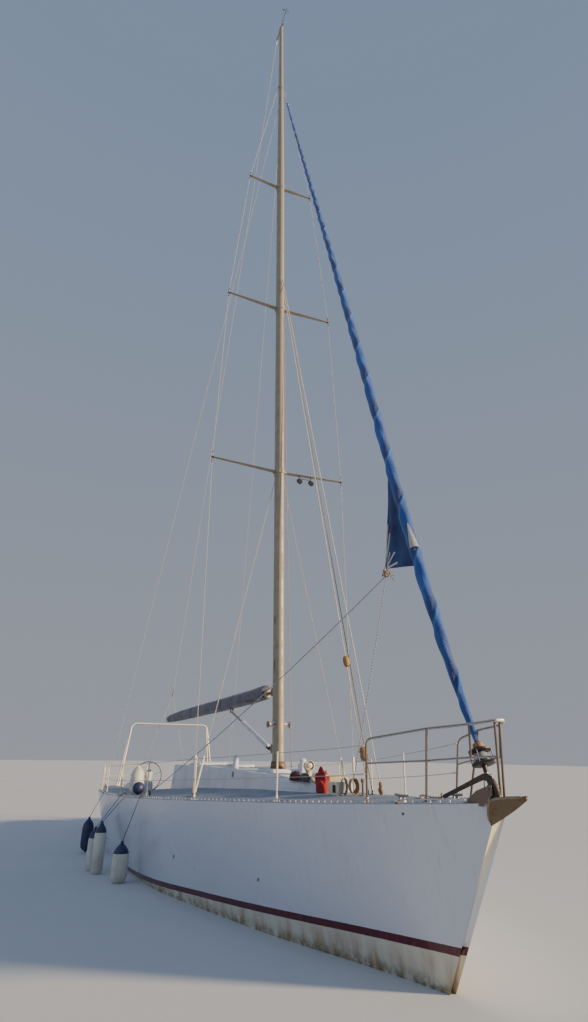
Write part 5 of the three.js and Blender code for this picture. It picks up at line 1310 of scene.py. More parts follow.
# The boom and its vang share a frame that swings about the mast's lean
lean, swingTurn = rotation((0, 1, 0), -rake), rotation((0, 0, 1), boomYaw)
swing = lean @ swingTurn
gooseAt = at(gooseAft, 0, gooseZ)
boomTurn = swing @ rotation((0, 1, 0), boomRise)
boomAt = gooseAt + swing @ np.array([-crossAt, 0, 0])


def onBoom(shape):
    # from the boom's own frame to the yacht's
    return moved(shape, boomTurn, boomAt)


def onSwing(shape, drop=0.0):
    # from the gooseneck's frame, lowered along the mast
    return moved(shape, swing, gooseAt - swing @ np.array([0, 0, drop]))


def toggleParts():
    # a barrel on the mast's pin with collars, a tongue, and the cross pin with its washers
    parts = [spun([(0.0125, -0.04), (0.028, -0.04), (0.03, -0.037), (0.03, 0.037), (0.028, 0.04),
        (0.0125, 0.04)], sides=28)]
    parts.append(block((-0.078, -0.014, -0.016), (-0.026, 0.014, 0.016), 0.006))
    parts.append(rod((-crossAt, -0.044, 0), (-crossAt, 0.044, 0), 0.0098, 18))
    return parts


gooseShapes = [onSwing(s, drop) for drop in (0.0, vangDrop) for s in toggleParts()]
piece("gooseneck_fine", gooseShapes, steel, "gooseneck", ["gooseneck_toggle", "vang_toggle"], "stainless")

boomHalf = (0.062, 0.084)
turn = circle(40)
boomX = np.array([0.07, 0.075, 1, 3, 5, 7.22, 7.225])
section = np.stack([boomHalf[0] * squared(np.cos(turn), 0.8), boomHalf[1] * squared(np.sin(turn), 0.8)], -1)
boomBody = np.stack([np.concatenate([np.full((40, 1), -x), section * s], 1) for x, s in zip(boomX,
    (0.97, 1, 1, 1, 1, 1, 1))])
capRows = [(7.222, 1.02), (7.225, 1.04), (7.3, 1.04), (7.318, 0.98), (7.32, 0.9)]
endCap = np.stack([np.concatenate([np.full((40, 1), -x), section * s], 1) for x, s in capRows])
vangEye = np.array([-(2.15 - crossAt), 0, -0.195])
boomShapes = [grid(boomBody), grid(endCap, mat=1)]
for sign in (-1, 1):
    boomShapes.append(plate(np.array([[0.02, -0.02], [0.022, 0.0], [0.02, 0.02], [-0.11, 0.022],
        [-0.11, -0.022]]), 0.022, (0, sign * 0.032, 0), (1, 0, 0), (0, 0, 1), 1))
    outline = np.array([[-0.055, 0.135], [-0.045, -0.012], [-0.028, -0.026], [0.028, -0.026], [0.045, -0.012],
        [0.055, 0.135]])
    boomShapes.append(plate(outline, 0.012, vangEye + [0, sign * 0.025, 0], (1, 0, 0), (0, 0, 1), 1))
boomShapes.append(rod(vangEye - [0, 0.032, 0], vangEye + [0, 0.032, 0], 0.0098, 18, 1))
for x in (6.95, 7.26):
    for z in (-0.09, 0.09):
        arc = np.linspace(0, math.pi, 9)
        boomShapes.append(tube(np.stack([-x + 0.016 * np.cos(arc), 0 * arc,
            z * 0.93 + np.sign(z) * 0.022 * np.sin(arc)], -1), 0.004, 8, mat=1))
dressed("boom", [onBoom(s) for s in boomShapes], [mastAlloy, steel], "anodised", "boom")

# Cover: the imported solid's rows, filled out between them, with sags between its lashings and a seam on top
coverRows = np.array([[0.2, 0.112, 0.182, 0.104], [0.9, 0.114, 0.168, 0.126], [2.6, 0.106, 0.158, 0.138],
    [4.5, 0.098, 0.154, 0.134], [6.0, 0.09, 0.144, 0.132], [6.9, 0.084, 0.112, 0.106],
    [7.15, 0.082, 0.1, 0.1]])
cover = {"along": 420, "around": 72, "lashings": [0.32, 1.05, 1.75, 2.6, 3.35, 4.1, 4.9, 5.6, 6.3, 6.95]}


def coverPoint(x, turn, grow=0.0):
    # egg section: half width times cos, top or depth times sin, squared off by the powers 0.86 and 0.92
    half, top, deep = (np.interp(x, coverRows[:, 0], coverRows[:, k]) for k in (1, 2, 3))
    c, s = squared(np.cos(turn), 0.86), squared(np.sin(turn), 0.92)
    return np.stack([-x + 0 * turn, (half + grow) * c, np.where(s > 0, top + grow, deep + grow) * s], -1)


x = np.concatenate([[0.198], np.linspace(0.2, 7.15, cover["along"]), [7.152]])[:, None]
turn = np.linspace(-math.pi / 2, 1.5 * math.pi, cover["around"], endpoint=False)[None, :]
near = np.min(np.abs(x[:, :, None] - np.array(cover["lashings"])), -1)
slack = (0.003 * np.clip(near / 0.18, 0, 1) - 0.006
    + 0.0035 * np.sin(5 * turn + 0.7 * x + 0.6 * np.sin(0.9 * x)))
wrinkle = (0.003 * np.sin(x * 7.3 + 2.1 * turn + 1.2 * np.sin(x * 2.9)) * np.sin(turn * 3 - x * 3.7)
    + 0.0008 * np.sin(x * 23 + 4 * turn))
pull = 0.004 * np.exp(-(near / 0.05) ** 2) * np.sin(turn * 6)
coverOuter = coverPoint(x, turn, slack + wrinkle - pull)
slit = np.abs(((turn + math.pi / 2 + math.pi) % (2 * math.pi)) - math.pi) < 0.3
gap = slit & (np.abs(x + vangEye[0]) < 0.09)
coverOuter[..., 2] = np.where(gap, np.minimum(coverOuter[..., 2] + 0.03, -0.09), coverOuter[..., 2])
coverOuter[[0, -1], :, 1:] *= 0.985
inner = np.stack([np.concatenate([np.full((cover["around"], 1), -xx),
    np.stack([0.066 * np.cos(turn[0]), 0.088 * np.sin(turn[0])], -1)], 1) for xx in (7.15, 6.9, 3.5, 0.45,
    0.205)])
coverSkin = grid(np.concatenate([coverOuter, inner]), loop=True)
# the cover's open front, in the near-black cloth as painted shade where its inside lies in shadow
fore, _, high = coverSkin["v"][coverSkin["idx"].reshape(-1, 4)].mean(1).T
coverSkin["mat"] = np.where((fore > -1.05 + 0.35 * high) & (high < -0.045 - 0.1 * (fore + 0.95)), 1, 0)
coverObj = piece("sail_cover_cloth", onBoom(coverSkin), [coverCloth, coverDark], "boom", "sail_cover",
    "cover_cloth", angle=70)
lash = []
for x in cover["lashings"][::3]:
    ring = coverPoint(np.full(60, x), circle(60), 0.0)
    lash.append(tube(ring, 0.0042, 6, loop=True))
seamX = np.linspace(0.25, 7.1, 140)
for beside in (-0.12, 0.12):
    lash.append(tube(coverPoint(seamX, np.full(140, math.pi / 2 + beside), 0.0015), 0.0035, 6, mat=1))
piece("cover_lashings", [onBoom(s) for s in lash], [darkRope, coverDark], "boom")
print("boom ready")

# Vang: the tube on the mast's toggle, the rod out of it to the boom's lug
eyeInSwing = np.array([-crossAt, 0, 0]) + rotation((0, 1, 0), boomRise) @ vangEye
footInSwing = np.array([-crossAt, 0, -vangDrop])
vangStep = eyeInSwing - footInSwing
vangLength = float(np.linalg.norm(vangStep))
vangTurn = swing @ rotation((0, 1, 0), math.atan2(vangStep[2], -vangStep[0]))
vangAt = gooseAt + swing @ footInSwing
tubeEnd = 0.68 * vangLength


def onVang(shape):
    # from the vang's own frame to the yacht's
    return moved(shape, vangTurn, vangAt)


vangTubeParts = [spun([(0.034, -0.098), (0.043, -0.105), (0.045, -0.125), (0.045, -0.165), (0.0445, -0.17),
    (0.0445, -tubeEnd + 0.09), (0.049, -tubeEnd + 0.085), (0.049, -tubeEnd + 0.015), (0.046, -tubeEnd),
    (0.031, -tubeEnd)], (0, 0, 0), (1, 0, 0), 40)]
for sign in (-1, 1):
    vangTubeParts.append(plate(np.array([[0.02, -0.018], [0.022, 0], [0.02, 0.018], [-0.125, 0.02],
        [-0.125, -0.02]]), 0.022, (0, sign * 0.032, 0), (1, 0, 0), (0, 0, 1), 1))
vangTubeParts.append(spun([(0.012, -0.05), (0.016, -0.048), (0.016, 0.048), (0.012, 0.05)], (0, 0, 0),
    (0, 1, 0), 18, 1))
dressed("vang_tube", [onVang(s) for s in vangTubeParts], [vangAlloy, darkMetal], "stainless", "vang_tube")
rodParts = [rod((-tubeEnd + 0.6, 0, 0), (-vangLength + 0.075, 0, 0), 0.0295, 28)]
rodParts.append(spun([(0.0295, 0), (0.026, 0.012), (0.013, 0.02), (0.012, 0.045)],
    (-vangLength + 0.075, 0, 0), (-1, 0, 0), 24))
turn = circle(32)
eyeRing = [(0.0195, -0.012), (0.034, -0.012), (0.034, 0.012), (0.0195, 0.012)]
rodParts.append(grid(np.stack([np.stack([-vangLength + r * np.cos(turn), h + 0 * turn, r * np.sin(turn)], -1)
    for r, h in eyeRing]), loop=True))
dressed("vang_rod", [onVang(s) for s in rodParts], steel, "stainless", "vang_rod")
print("vang ready")

# Clew: the corner of the sail left out of the roll, a taut panel with straps sewn to its corner ring
clewAt = at(0.803, 0, 4.718)
flapTop, flapFoot = 4.457, 2.48
clewFacts = {"across": 60, "along": 70, "thick": 0.004}
s = np.linspace(0, 1, clewFacts["across"])[:, None, None]
u = np.linspace(0, 1, clewFacts["along"])[None, :, None]
edge = onRoll(flapTop) * (1 - u) + onRoll(flapFoot) * u
flat = clewAt * (1 - s) + edge * s
ripple = 0.012 * np.sin(math.pi * s) * np.sin(3 * math.pi * u + 2 * s) + 0.004 * np.sin(9 * u + 14 * s)
surface = flat + ripple * np.array([0, 1, 0])
near = np.concatenate([surface + [0, clewFacts["thick"] / 2, 0],
    (surface - [0, clewFacts["thick"] / 2, 0])[:, ::-1]], 1)
flapObj = piece("clew_flap", [grid(near)], navyCloth, replaces="genoa_clew", slot="sail_cloth_navy", angle=60)
straps = []
for share in (0.08, 0.28, 0.48, 0.68, 0.9):
    target = onRoll(flapTop + (flapFoot - flapTop) * share)
    run = spread(clewAt + (target - clewAt) * 0.02, clewAt + (target - clewAt) * 0.42, 12)
    for sign in (1, -1):
        runDir = unit(target - clewAt)
        crossing = unit(np.cross(runDir, [0, 1, 0]))
        width = 0.016 * np.array([1, -1])[:, None, None]
        ribbon = run[None] + width * crossing + sign * np.array([0, 0.0065, 0])
        straps.append(grid(np.concatenate([ribbon.transpose(1, 0, 2),
            (ribbon - sign * np.array([0, 0.003, 0])).transpose(1, 0, 2)[:, ::-1]], 1)))
piece("clew_straps", straps, strapCloth)
turn = circle(28)
ring = clewAt + 0.034 * np.stack([np.cos(turn), 0 * turn, np.sin(turn)], -1)
piece("clew_ring", [tube(ring, 0.0085, 12, loop=True)], steel)
print("clew ready")

# Standing rigging: chainplate, turnbuckle, wire over the spreader tips and swaged ends
wire = 0.0068
chainAft, chainSide = 4.95, 1.6
tips = [(mastAft(z), half, z + tipRise) for z, half, _ in spreaders.values()]


def turnbuckle(foot, aim, size=1.0, sleeved=False):
    # fork and pin, threaded body, lock nuts and the swage above, or a white tube slid over them all
    if sleeved:
        return [spun([(0.01, 0.03), (0.021 * size, 0.035), (0.021 * size, 0.62), (0.016 * size, 0.64),
            (0.01, 0.645)], foot, aim, 20, 2)]
    rows = [(0.014, 0.02), (0.018, 0.03), (0.018, 0.085), (0.011, 0.09), (0.011, 0.14), (0.016, 0.145),
        (0.0165, 0.33), (0.011, 0.335), (0.011, 0.4), (0.0125, 0.405), (0.0125, 0.52), (0.0075, 0.535)]
    return [spun([(r * size, h) for r, h in rows], foot, aim, 18, 1)]


def shrouds(sign):
    # cap shroud over the spreaders' tips, lower shroud, swages at each bend, and the chainplate
    foot = at(chainAft, sign * chainSide, 1.56)
    lowFoot = at(chainAft + 0.18, sign * (chainSide - 0.06), 1.555)
    lowTop = at(mastAft(8.18), sign * 0.1, 8.18)
    runs = ([foot] + [at(a, sign * (half + 0.016), z) for a, half, z in tips]
        + [at(mastAft(houndsZ), sign * 0.085, houndsZ)])
    shapes = [tube(np.array(runs), wire, 10), rod(lowFoot, lowTop, wire, 10)]
    for a, b in zip(runs[:-1], runs[1:]):
        for end, other in ((a, b), (b, a)):
            shapes.append(spun([(0.008, 0.025), (0.0115, 0.03), (0.0115, 0.15), (0.0075, 0.165)], end,
                unit(other - end), 14, 1))
    shapes += (turnbuckle(foot, unit(runs[1] - foot), 1.1, True) + turnbuckle(lowFoot, unit(lowTop - lowFoot),
        1.0, True))
    deck = deckZ(chainAft, chainSide)
    outline = np.array([[-0.07, -0.06], [0.25, -0.06], [0.25, 0.03], [0.2, 0.058], [0.0, 0.058],
        [-0.07, 0.03]])
    runDir = unit(np.array([-0.32, sign * 0.06, 0]))
    shapes.append(plate(outline, 0.016, at(chainAft, sign * chainSide, deck), runDir, (0, 0, 1), 1))
    shapes.append(spun([(0.1, -0.003), (0.1, 0.004), (0.09, 0.008), (0.05, 0.01)],
        at(chainAft + 0.09, sign * (chainSide - 0.03), deck - 0.002), (0, 0, 1), 28, 1))
    return shapes


for sign, label in bothSides:
    dressed(f"shrouds_{label}", shrouds(sign), [wireSteel, steel, creamPlastic], "stainless")
backTop, backFork = at(headAft + 0.43, 0, mastTopZ + 0.02), at(15.63, 0, 4.2)
backShapes = [rod(backTop, backFork, wire, 10), spun([(0.026, -0.06), (0.026, 0.05), (0.014, 0.06)], backFork,
    (0, 0, 1), 20, 1), spun([(0.009, 0.03), (0.013, 0.035), (0.013, 0.18), (0.008, 0.2)], backFork,
    unit(backTop - backFork), 14, 1), spun([(0.009, 0.03), (0.013, 0.035), (0.013, 0.18), (0.008, 0.2)],
    backTop, unit(backFork - backTop), 14, 1)]
for sign in (1, -1):
    foot = at(16.2, sign * 0.9, 1.22)
    foot[2] = deckZ(16.2, 0.9) + 0.02
    backShapes += [rod(foot, backFork, wire, 10)] + turnbuckle(foot, unit(backFork - foot), 1.1)
    backShapes.append(spun([(0.05, -0.022), (0.05, -0.012), (0.02, -0.008), (0.016, 0.03)], foot, (0, 0, 1),
        20, 1))
dressed("backstay", backShapes, [wireSteel, steel], "stainless")
for sign, label in bothSides:
    foot, top = at(14.9, sign * (sheerHalf(14.9) - 0.19), 1.24), at(mastAft(22.9) + 0.09, sign * 0.06, 22.9)
    aim = unit(top - foot)
    blockAt = foot + aim * 0.3
    shapes = [rod(foot + aim * 0.34, top, 0.0058, 10),
        spun([(0.042, -0.02), (0.042, -0.01), (0.014, 0.0), (0.012, 0.05)], foot, (0, 0, 1), 20, 1),
        rod(foot + aim * 0.04, blockAt, 0.007, 10, 2)]
    shapes.append(spun([(0.02, -0.022), (0.046, -0.02), (0.05, -0.006), (0.036, 0), (0.05, 0.006),
        (0.046, 0.02), (0.02, 0.022)], blockAt, unit(np.cross(aim, [1, 0, 0])), 26, 1))
    dressed(f"runner_{label}", shapes, [wireSteel, darkMetal, blueRope], "stainless")
print("rigging ready")

# Stem fitting: plate over the stem head, roller cheeks, roller, and the tang that the stay is pinned to
rollerSide, roller = 0.088, {"aft": -1.035, "z": 1.925, "radius": 0.034}
stemShapes = [block(at(-1.11, rollerSide + 0.046, 1.79), at(-0.7, -0.06, 1.819), 0.02)]
cheekOutline = np.array([[-0.7, 1.76], [-0.7, 1.805], [-0.73, 1.824], [-0.85, 1.897], [-0.96, 1.93],
    [-1.07, 1.96], [-1.09, 1.95], [-1.094, 1.92], [-1.09, 1.88], [-0.95, 1.765], [-0.93, 1.76]])
for off in (-0.042, 0.042):
    stemShapes.append(plate(cheekOutline * [-1, 1] + [stemX, 0], 0.009, (0, -(rollerSide + off), 0),
        (1, 0, 0), (0, 0, 1)))
axle = at(roller["aft"], rollerSide, roller["z"])
stemShapes.append(spun([(0.01, -0.037), (0.034, -0.036), (0.034, -0.03), (0.024, -0.012), (0.024, 0.012),
    (0.034, 0.03), (0.034, 0.036), (0.01, 0.037)], axle, (0, 1, 0), 28, 1))
for off in (-0.05, 0.05):
    stemShapes.append(spun([(0.016, -0.003), (0.016, 0.002), (0.01, 0.004)], axle + [0, off, 0],
        (0, np.sign(off), 0), 6))
stemShapes.append(rod(axle - [0, 0.052, 0], axle + [0, 0.052, 0], 0.009, 14))
stemShapes.append(spun([(0.016, -0.405), (0.021, -0.4), (0.021, -0.2), (0.016, -0.195), (0.016, -0.165),
    (0.021, -0.16), (0.021, -0.1303)], tack, stayDir, 20))
stemShapes.append(plate(np.array([[-0.03, -0.1], [0.03, -0.1], [0.03, 0.0], [0.02, 0.03], [-0.02, 0.03],
    [-0.03, 0.0]]), 0.012, onStay(-0.37) + [0, 0, 0.012], (1, 0, 0), stayDir))
stemShapes.append(tube(at(np.array([-0.93, -0.95, -1.06, -1.075]), rollerSide,
    np.array([1.93, 2.062, 2.05, 1.94])), 0.006, 10))
dressed("stem_fitting", stemShapes, [steel, blackRubber], "stainless", bevel=0.0015)

# Anchor: a bent bar shank in the roller, and a plough fluke with rolled wings hanging ahead of the stem
shankRows = np.array([[-0.247, 1.808, 0.018], [-0.6, 1.921, 0.02], [-0.88, 2.011, 0.024],
    [-0.96, 2.025, 0.028], [-1.045, 1.99, 0.032], [-1.108, 1.88, 0.034], [-1.125, 1.74, 0.028],
    [-1.128, 1.672, 0.022]])
fine = curve(shankRows, 80)
spine = at(fine[:, 0], rollerSide, fine[:, 1])
step = unit(np.gradient(spine, axis=0))
upDir = np.cross(step, [0, 1, 0])
turn = circle(28)
acrossBar, upBar = squared(np.cos(turn), 0.45)[None, :, None], squared(np.sin(turn), 0.45)[None, :, None]
barHalf = fine[:, 2, None, None]
shank = spine[:, None] + barHalf * (0.62 * acrossBar * np.array([0, 1, 0]) + 1.12 * upBar * upDir[:, None])
anchorShapes = [grid(shank)]
flukeRows = np.array([[-0.975, 1.592, 0.012, 0.018], [-1.05, 1.626, 0.09, 0.07], [-1.17, 1.68, 0.15, 0.135],
    [-1.33, 1.757, 0.11, 0.095], [-1.5, 1.848, 0.012, 0.016]])
f = curve(flukeRows, 60)
u = np.concatenate([np.linspace(-1, 1, 25), np.linspace(1, -1, 25)])[None, :]
# the wings rise with |u|^1.3, and their upper faces run 14 to 30 mm above the lower ones
under = np.concatenate([np.zeros(25), np.ones(25)])[None, :]
flukeZ = f[:, 1:2] + f[:, 3:4] * np.abs(u) ** 1.3 + (1 - under) * (0.03 - 0.016 * np.abs(u))
# the fluke in its painted sunlit tan
anchorShapes.append(grid(at(f[:, 0:1] + 0 * u, rollerSide + f[:, 2:3] * u, flukeZ), mat=2))
# painted highlight: the wings' upper rims in the pale galvanising, where the low sun catches them
for sign in (1, -1):
    lip = at(f[4:-4, 0], rollerSide + sign * f[4:-4, 2] * 0.985, f[4:-4, 1] + f[4:-4, 3] + 0.01)
    anchorShapes.append(tube(lip, 0.011, 12, mat=1))
anchorShapes.append(spun([(0.018, -0.035), (0.024, -0.03), (0.024, 0.03), (0.018, 0.035)],
    at(-1.125, rollerSide, 1.73), (0, 1, 0), 20, 1))
shackle = at(-0.262, rollerSide, 1.815)
arc = np.linspace(-math.pi / 2, math.pi / 2, 13)
anchorShapes.append(tube(shackle + np.stack([-0.035 - 0.028 * np.cos(arc), 0 * arc, 0.026 * np.sin(arc)], -1),
    0.0075, 12, mat=1))
dressed("anchor", anchorShapes, [rustyShadedAnchor, rustAndSunlitEdge, sunlitRustyFluke], "galvanised", angle=45, bevel=0.002)


def chain(path, link=0.036, radius=0.005):
    # oval links laid along a path, each turned a quarter from the one before
    path = np.asarray(path, float)
    run = np.append(0, np.cumsum(np.linalg.norm(np.diff(path, axis=0), axis=1)))
    linkAt = np.arange(link / 2, run[-1], link * 0.72)
    centre = np.stack([np.interp(linkAt, run, path[:, k]) for k in range(3)], -1)
    runDir = unit(np.gradient(centre, axis=0))
    sideways = unit(np.cross([0, 0, 1], runDir))
    upward = np.cross(runDir, sideways)
    odd = (np.arange(len(centre)) % 2)[:, None]
    broad = np.where(odd, sideways, upward)
    outward = np.cross(runDir, broad)
    a, b = np.meshgrid(circle(12), circle(6), indexing="ij")
    ovalX = (link / 2 - radius * 1.2) * squared(np.cos(a), 0.8) + radius * np.cos(b) * np.cos(a)
    ovalY = (link / 3.2 - radius * 0.4) * np.sin(a) + radius * np.cos(b) * np.sin(a)
    ovalZ = radius * np.sin(b)
    spans = ((ovalX, runDir), (ovalY, broad), (ovalZ, outward))
    v = centre[:, None, None]
    for share, axis in spans:
        v = v + share[None, ..., None] * axis[:, None, None]
    i, j = np.meshgrid(np.arange(12), np.arange(6), indexing="ij")
    quad = np.stack([i * 6 + j, (i + 1) % 12 * 6 + j, (i + 1) % 12 * 6 + (j + 1) % 6, i * 6 + (j + 1) % 6],
        -1).reshape(-1)
    idx = (np.arange(len(centre))[:, None] * 72 + quad).ravel()
    return turnedOut(shapeOf(v.reshape(-1, 3), idx, np.full(len(idx) // 4, 4)))


pipeAft = 0.22
chainPath = [onDeck(pipeAft, 0.085, 0.02), onDeck(0.16, 0.086, 0.035), onDeck(0, rollerSide, 0.022),
    onDeck(-0.17, rollerSide, 0.022), at(-0.235, rollerSide, 1.812)]
piece("anchor_chain", [chain(curve(chainPath, 60))], rustAndSunlitEdge)
pipeRows = [(0.05, -0.004), (0.05, 0.006), (0.044, 0.014), (0.036, 0.016), (0.034, 0.006), (0.034, -0.004)]
piece("chain_pipe", [spun(pipeRows, onDeck(pipeAft, 0.085), (0, 0, 1), 28)], steel)
print("bow gear ready")

# Cockpit: coamings, winches, helm pedestals and wheels, mainsheet track
coamingRows = np.array([[10.65, 1.29, 1.56, 1.56], [12.6, 1.29, 1.6, 1.53], [13.35, 1.31, 1.62, 1.44],
    [13.8, 1.54, 1.68, 1.33]])


def coaming(sign):
    # section: inner foot, inner top edge rounded, flat top, outer edge rounded, outer foot
    aft = np.concatenate([[10.65, 10.66], np.linspace(10.68, 13.78, 60), [13.79, 13.8]])
    inner, outer, top = (np.interp(aft, coamingRows[:, 0], coamingRows[:, k])[:, None] for k in (1, 2, 3))
    arcTurn = np.linspace(0, math.pi / 2, 7)[None, :]
    r = 0.03
    inEdge = [inner + 0.02 + r - r * np.cos(arcTurn), top - r + r * np.sin(arcTurn)]
    outEdge = [outer - 0.06 - r + r * np.sin(arcTurn), top - r + r * np.cos(arcTurn)]
    low = deckZ(aft[:, None], outer) - 0.01
    sides = np.concatenate([inner, inEdge[0], outEdge[0], outer], 1)
    z = np.concatenate([np.minimum(low, 1.31), inEdge[1], outEdge[1], low], 1)
    pinch = np.ones(len(aft))[:, None]
    pinch[[0, -1]] = 0.985
    middle = sides.mean(1, keepdims=True)
    return grid(at(aft[:, None], sign * (middle + (sides - middle) * pinch), 1.3 + (z - 1.3) * pinch))


for sign, label in bothSides:
    top = float(np.interp(11.35, coamingRows[:, 0], coamingRows[:, 3]))
    small = winch(at(11.35, sign * 1.43, top - 0.01), (0, 0, 1), 0.8)
    dressed(f"coaming_{label}", [coaming(sign), small], [innerWhite, steel], "deck_gelcoat", angle=40)
    top = float(np.interp(12.35, coamingRows[:, 0], coamingRows[:, 3]))
    dressed(f"primary_winch_{label}", winch(at(12.35, sign * 1.43, top - 0.0095), (0, 0, 1), 1.0, 0), steel,
        "stainless")
    rows = [(0.7803, 0.13, 0.12), (0.8, 0.128, 0.118), (1.2, 0.098, 0.096), (1.5, 0.08, 0.08),
        (1.6, 0.1, 0.08), (1.64, 0.11, 0.08), (1.685, 0.105, 0.066), (1.7, 0.085, 0.05)]
    column = [(roundedRect(long, wide, min(wide, long) * 0.45, 7), z) for z, wide, long in rows]
    shapes = [stacked(14.35, sign * 0.8, column),
        spun([(0.035, -0.02), (0.035, 0.01), (0.018, 0.016), (0.018, 0.05)], at(14.43, sign * 0.8, 1.56),
        (-1, 0, 0), 22, 1)]
    shapes.append(spun([(0.062, -0.006), (0.066, 0.012), (0.055, 0.05), (0.03, 0.072), (0.01, 0.078)],
        at(14.35, sign * 0.8, 1.7), (0, 0, 1), 26, 2))
    dressed(f"helm_pedestal_{label}", shapes, [innerWhite, steel, acrylic], "deck_gelcoat", angle=40)
    hub = at(14.5, sign * 0.8, 1.56)
    arcTurn = circle(96)
    rim = hub + 0.43 * np.stack([0 * arcTurn, np.cos(arcTurn), np.sin(arcTurn)], -1)
    wheel = [tube(rim, 0.0138, 14, loop=True, mat=1),
        spun([(0.019, -0.035), (0.043, -0.033), (0.045, -0.02), (0.045, 0.012), (0.03, 0.019),
        (0.012, 0.022)], hub, (-1, 0, 0), 28)]
    for k in range(5):
        spoke = rotation((1, 0, 0), k * math.radians(72)) @ np.array([0, 0, 1.0])
        wheel.append(tube(spread(hub + 0.035 * spoke, hub + 0.418 * spoke, 5),
            np.array([0.009, 0.0075, 0.007, 0.0075, 0.009]), 12))
    dressed(f"wheel_{label}", wheel, [steel, darkMetal], "stainless", f"wheel_{label}")
trackShapes = [block(at(13.54, 1.29, 0.7803), at(13.62, -1.29, 0.812), 0.004),
    block(at(13.567, 1.28, 0.81), at(13.593, -1.28, 0.83), 0.004)]
trackShapes.append(block(at(13.535, 0.62, 0.812), at(13.625, 0.5, 0.83), 0.012, 1))
dressed("mainsheet_track", trackShapes, [railAlloy, darkMetal], "anodised", bevel=0.002)
piece("seat_teak", [block(at(10.72, s * 1.21, 1.018), at(13.44, s * 0.46, 1.03), 0.04) for s in (1, -1)]
    + [block(at(10.76, 0.4, 0.618), at(13.4, -0.4, 0.63), 0.03),
    block(at(13.66, 1.44, 0.778), at(15.8, -1.44, 0.79), 0.05)], teak, bevel=0.003)
print("cockpit ready")

# Fenders: inflated vinyl with moulded ends, navy caps and eyes, on lines made off over the toe rail.
# Each row: where it hangs aft, its length, radius and top, and its distance off the sheer.
fenderRows = {"fender_aft": (10.6, 0.76, 0.135, 0.78, 0.15),
    "fender_quarter": (8.23, 0.85, 0.115, 0.79, 0.35), "fender_mid": (7.78, 0.99, 0.118, 0.935, 0.32),
    "fender_fore": (6.75, 0.74, 0.15, 0.685, 0.11)}


def fenderBody(top, length, radius):
    # cylinder between two domes, its neck and foot drawn in to an eye
    rows = [(0.012, 0.0), (0.024, -0.004), (0.03, -0.022), (0.026, -0.04), (0.045, -0.055),
        (0.4 * radius, -0.075), (0.62 * radius, -0.105), (0.83 * radius, -0.15), (0.96 * radius, -0.205),
        (radius, -0.26), (radius, -length + 0.2), (0.97 * radius, -length + 0.15),
        (0.86 * radius, -length + 0.1), (0.6 * radius, -length + 0.055), (0.036, -length + 0.035),
        (0.03, -length + 0.012), (0.012, -length)]
    shape = spun(rows, top, (0, 0, 1), 40)
    first = shape["idx"][np.cumsum(shape["cnt"]) - shape["cnt"]]
    shape["mat"] = np.where(shape["v"][first, 2] - top[2] > -0.19, 1, 0)
    return shape


for name, (aft, length, radius, top, off) in fenderRows.items():
    side, edge, rim = sheerHalf(aft) + radius + off, sheerHalf(aft), sheerZ(aft)
    line = bent([at(aft, side, top - 0.02), at(aft, edge + 0.014, rim + 0.046),
        at(aft, edge - 0.02, rim + 0.058), at(aft, edge - 0.048, rim + 0.022)], 0.012, 5)
    turn = circle(20)
    eyeRing = at(aft, side, top - 0.018) + 0.016 * np.stack([0 * turn, np.cos(turn), np.sin(turn)], -1)
    isNavy = name == "fender_aft"
    shapes = [fenderBody(at(aft, side, top), length, radius), tube(line, 0.0062, 10, mat=2),
        tube(eyeRing, 0.006, 8, loop=True, mat=2)]
    dressed(name, shapes, [vinylNavy if isNavy else vinylWhite, vinylNavy, darkRope],
        "fender_navy" if isNavy else "fender_white", angle=50)
stowAft = 8.4
stowSide = sheerHalf(stowAft) - 0.33
stowRows = [(0.012, 0), (0.03, -0.004), (0.034, -0.03), (0.05, -0.05), (0.085, -0.08), (0.118, -0.13),
    (0.142, -0.19), (0.15, -0.26), (0.15, -0.44), (0.146, -0.5), (0.13, -0.56), (0.115, -0.595),
    (0.05, -0.5995)]
dressed("fender_stowed", [spun(stowRows, onDeck(stowAft, stowSide, 0.6), (0, 0, 1), 40)], vinylWhite,
    "fender_white", angle=50)
print("fenders ready")

# Sail bag on the foredeck: a soft sack of folded sail, sunk where it lies and gathered at its neck
bagRows = np.array([[2.31, 0.035, 1.85], [2.35, 0.075, 1.94], [2.42, 0.092, 2.01], [2.5, 0.08, 1.975],
    [2.565, 0.045, 1.89]])
b = curve(bagRows, 110)
turn = circle(90)[None, :]
lump = (0.16 * np.sin(b[:, 0:1] * 17 + 2 * turn) * np.sin(3 * turn - 19 * b[:, 0:1])
    + 0.07 * np.sin(b[:, 0:1] * 51 + 5 * turn) + 0.035 * np.sin(9 * turn + 67 * b[:, 0:1]))
half = b[:, 1:2] * (1 + lump * 1.2)
rise = (b[:, 2:3] - 1.69) * (0.5 + 0.5 * np.sin(turn)) * (1 + lump)
bagAft, bagSide = b[:, 0:1] + 0 * turn, 0.29 + np.cos(turn) * half * 0.98
bagZ = np.maximum(1.69 + rise, deckZ(bagAft, bagSide) + 0.004)
bagObj = piece("sail_bag_cloth", [grid(at(bagAft, bagSide, bagZ))], redCloth, replaces="sail_bag",
    slot="bag_cloth", angle=80)
print("foredeck ready")

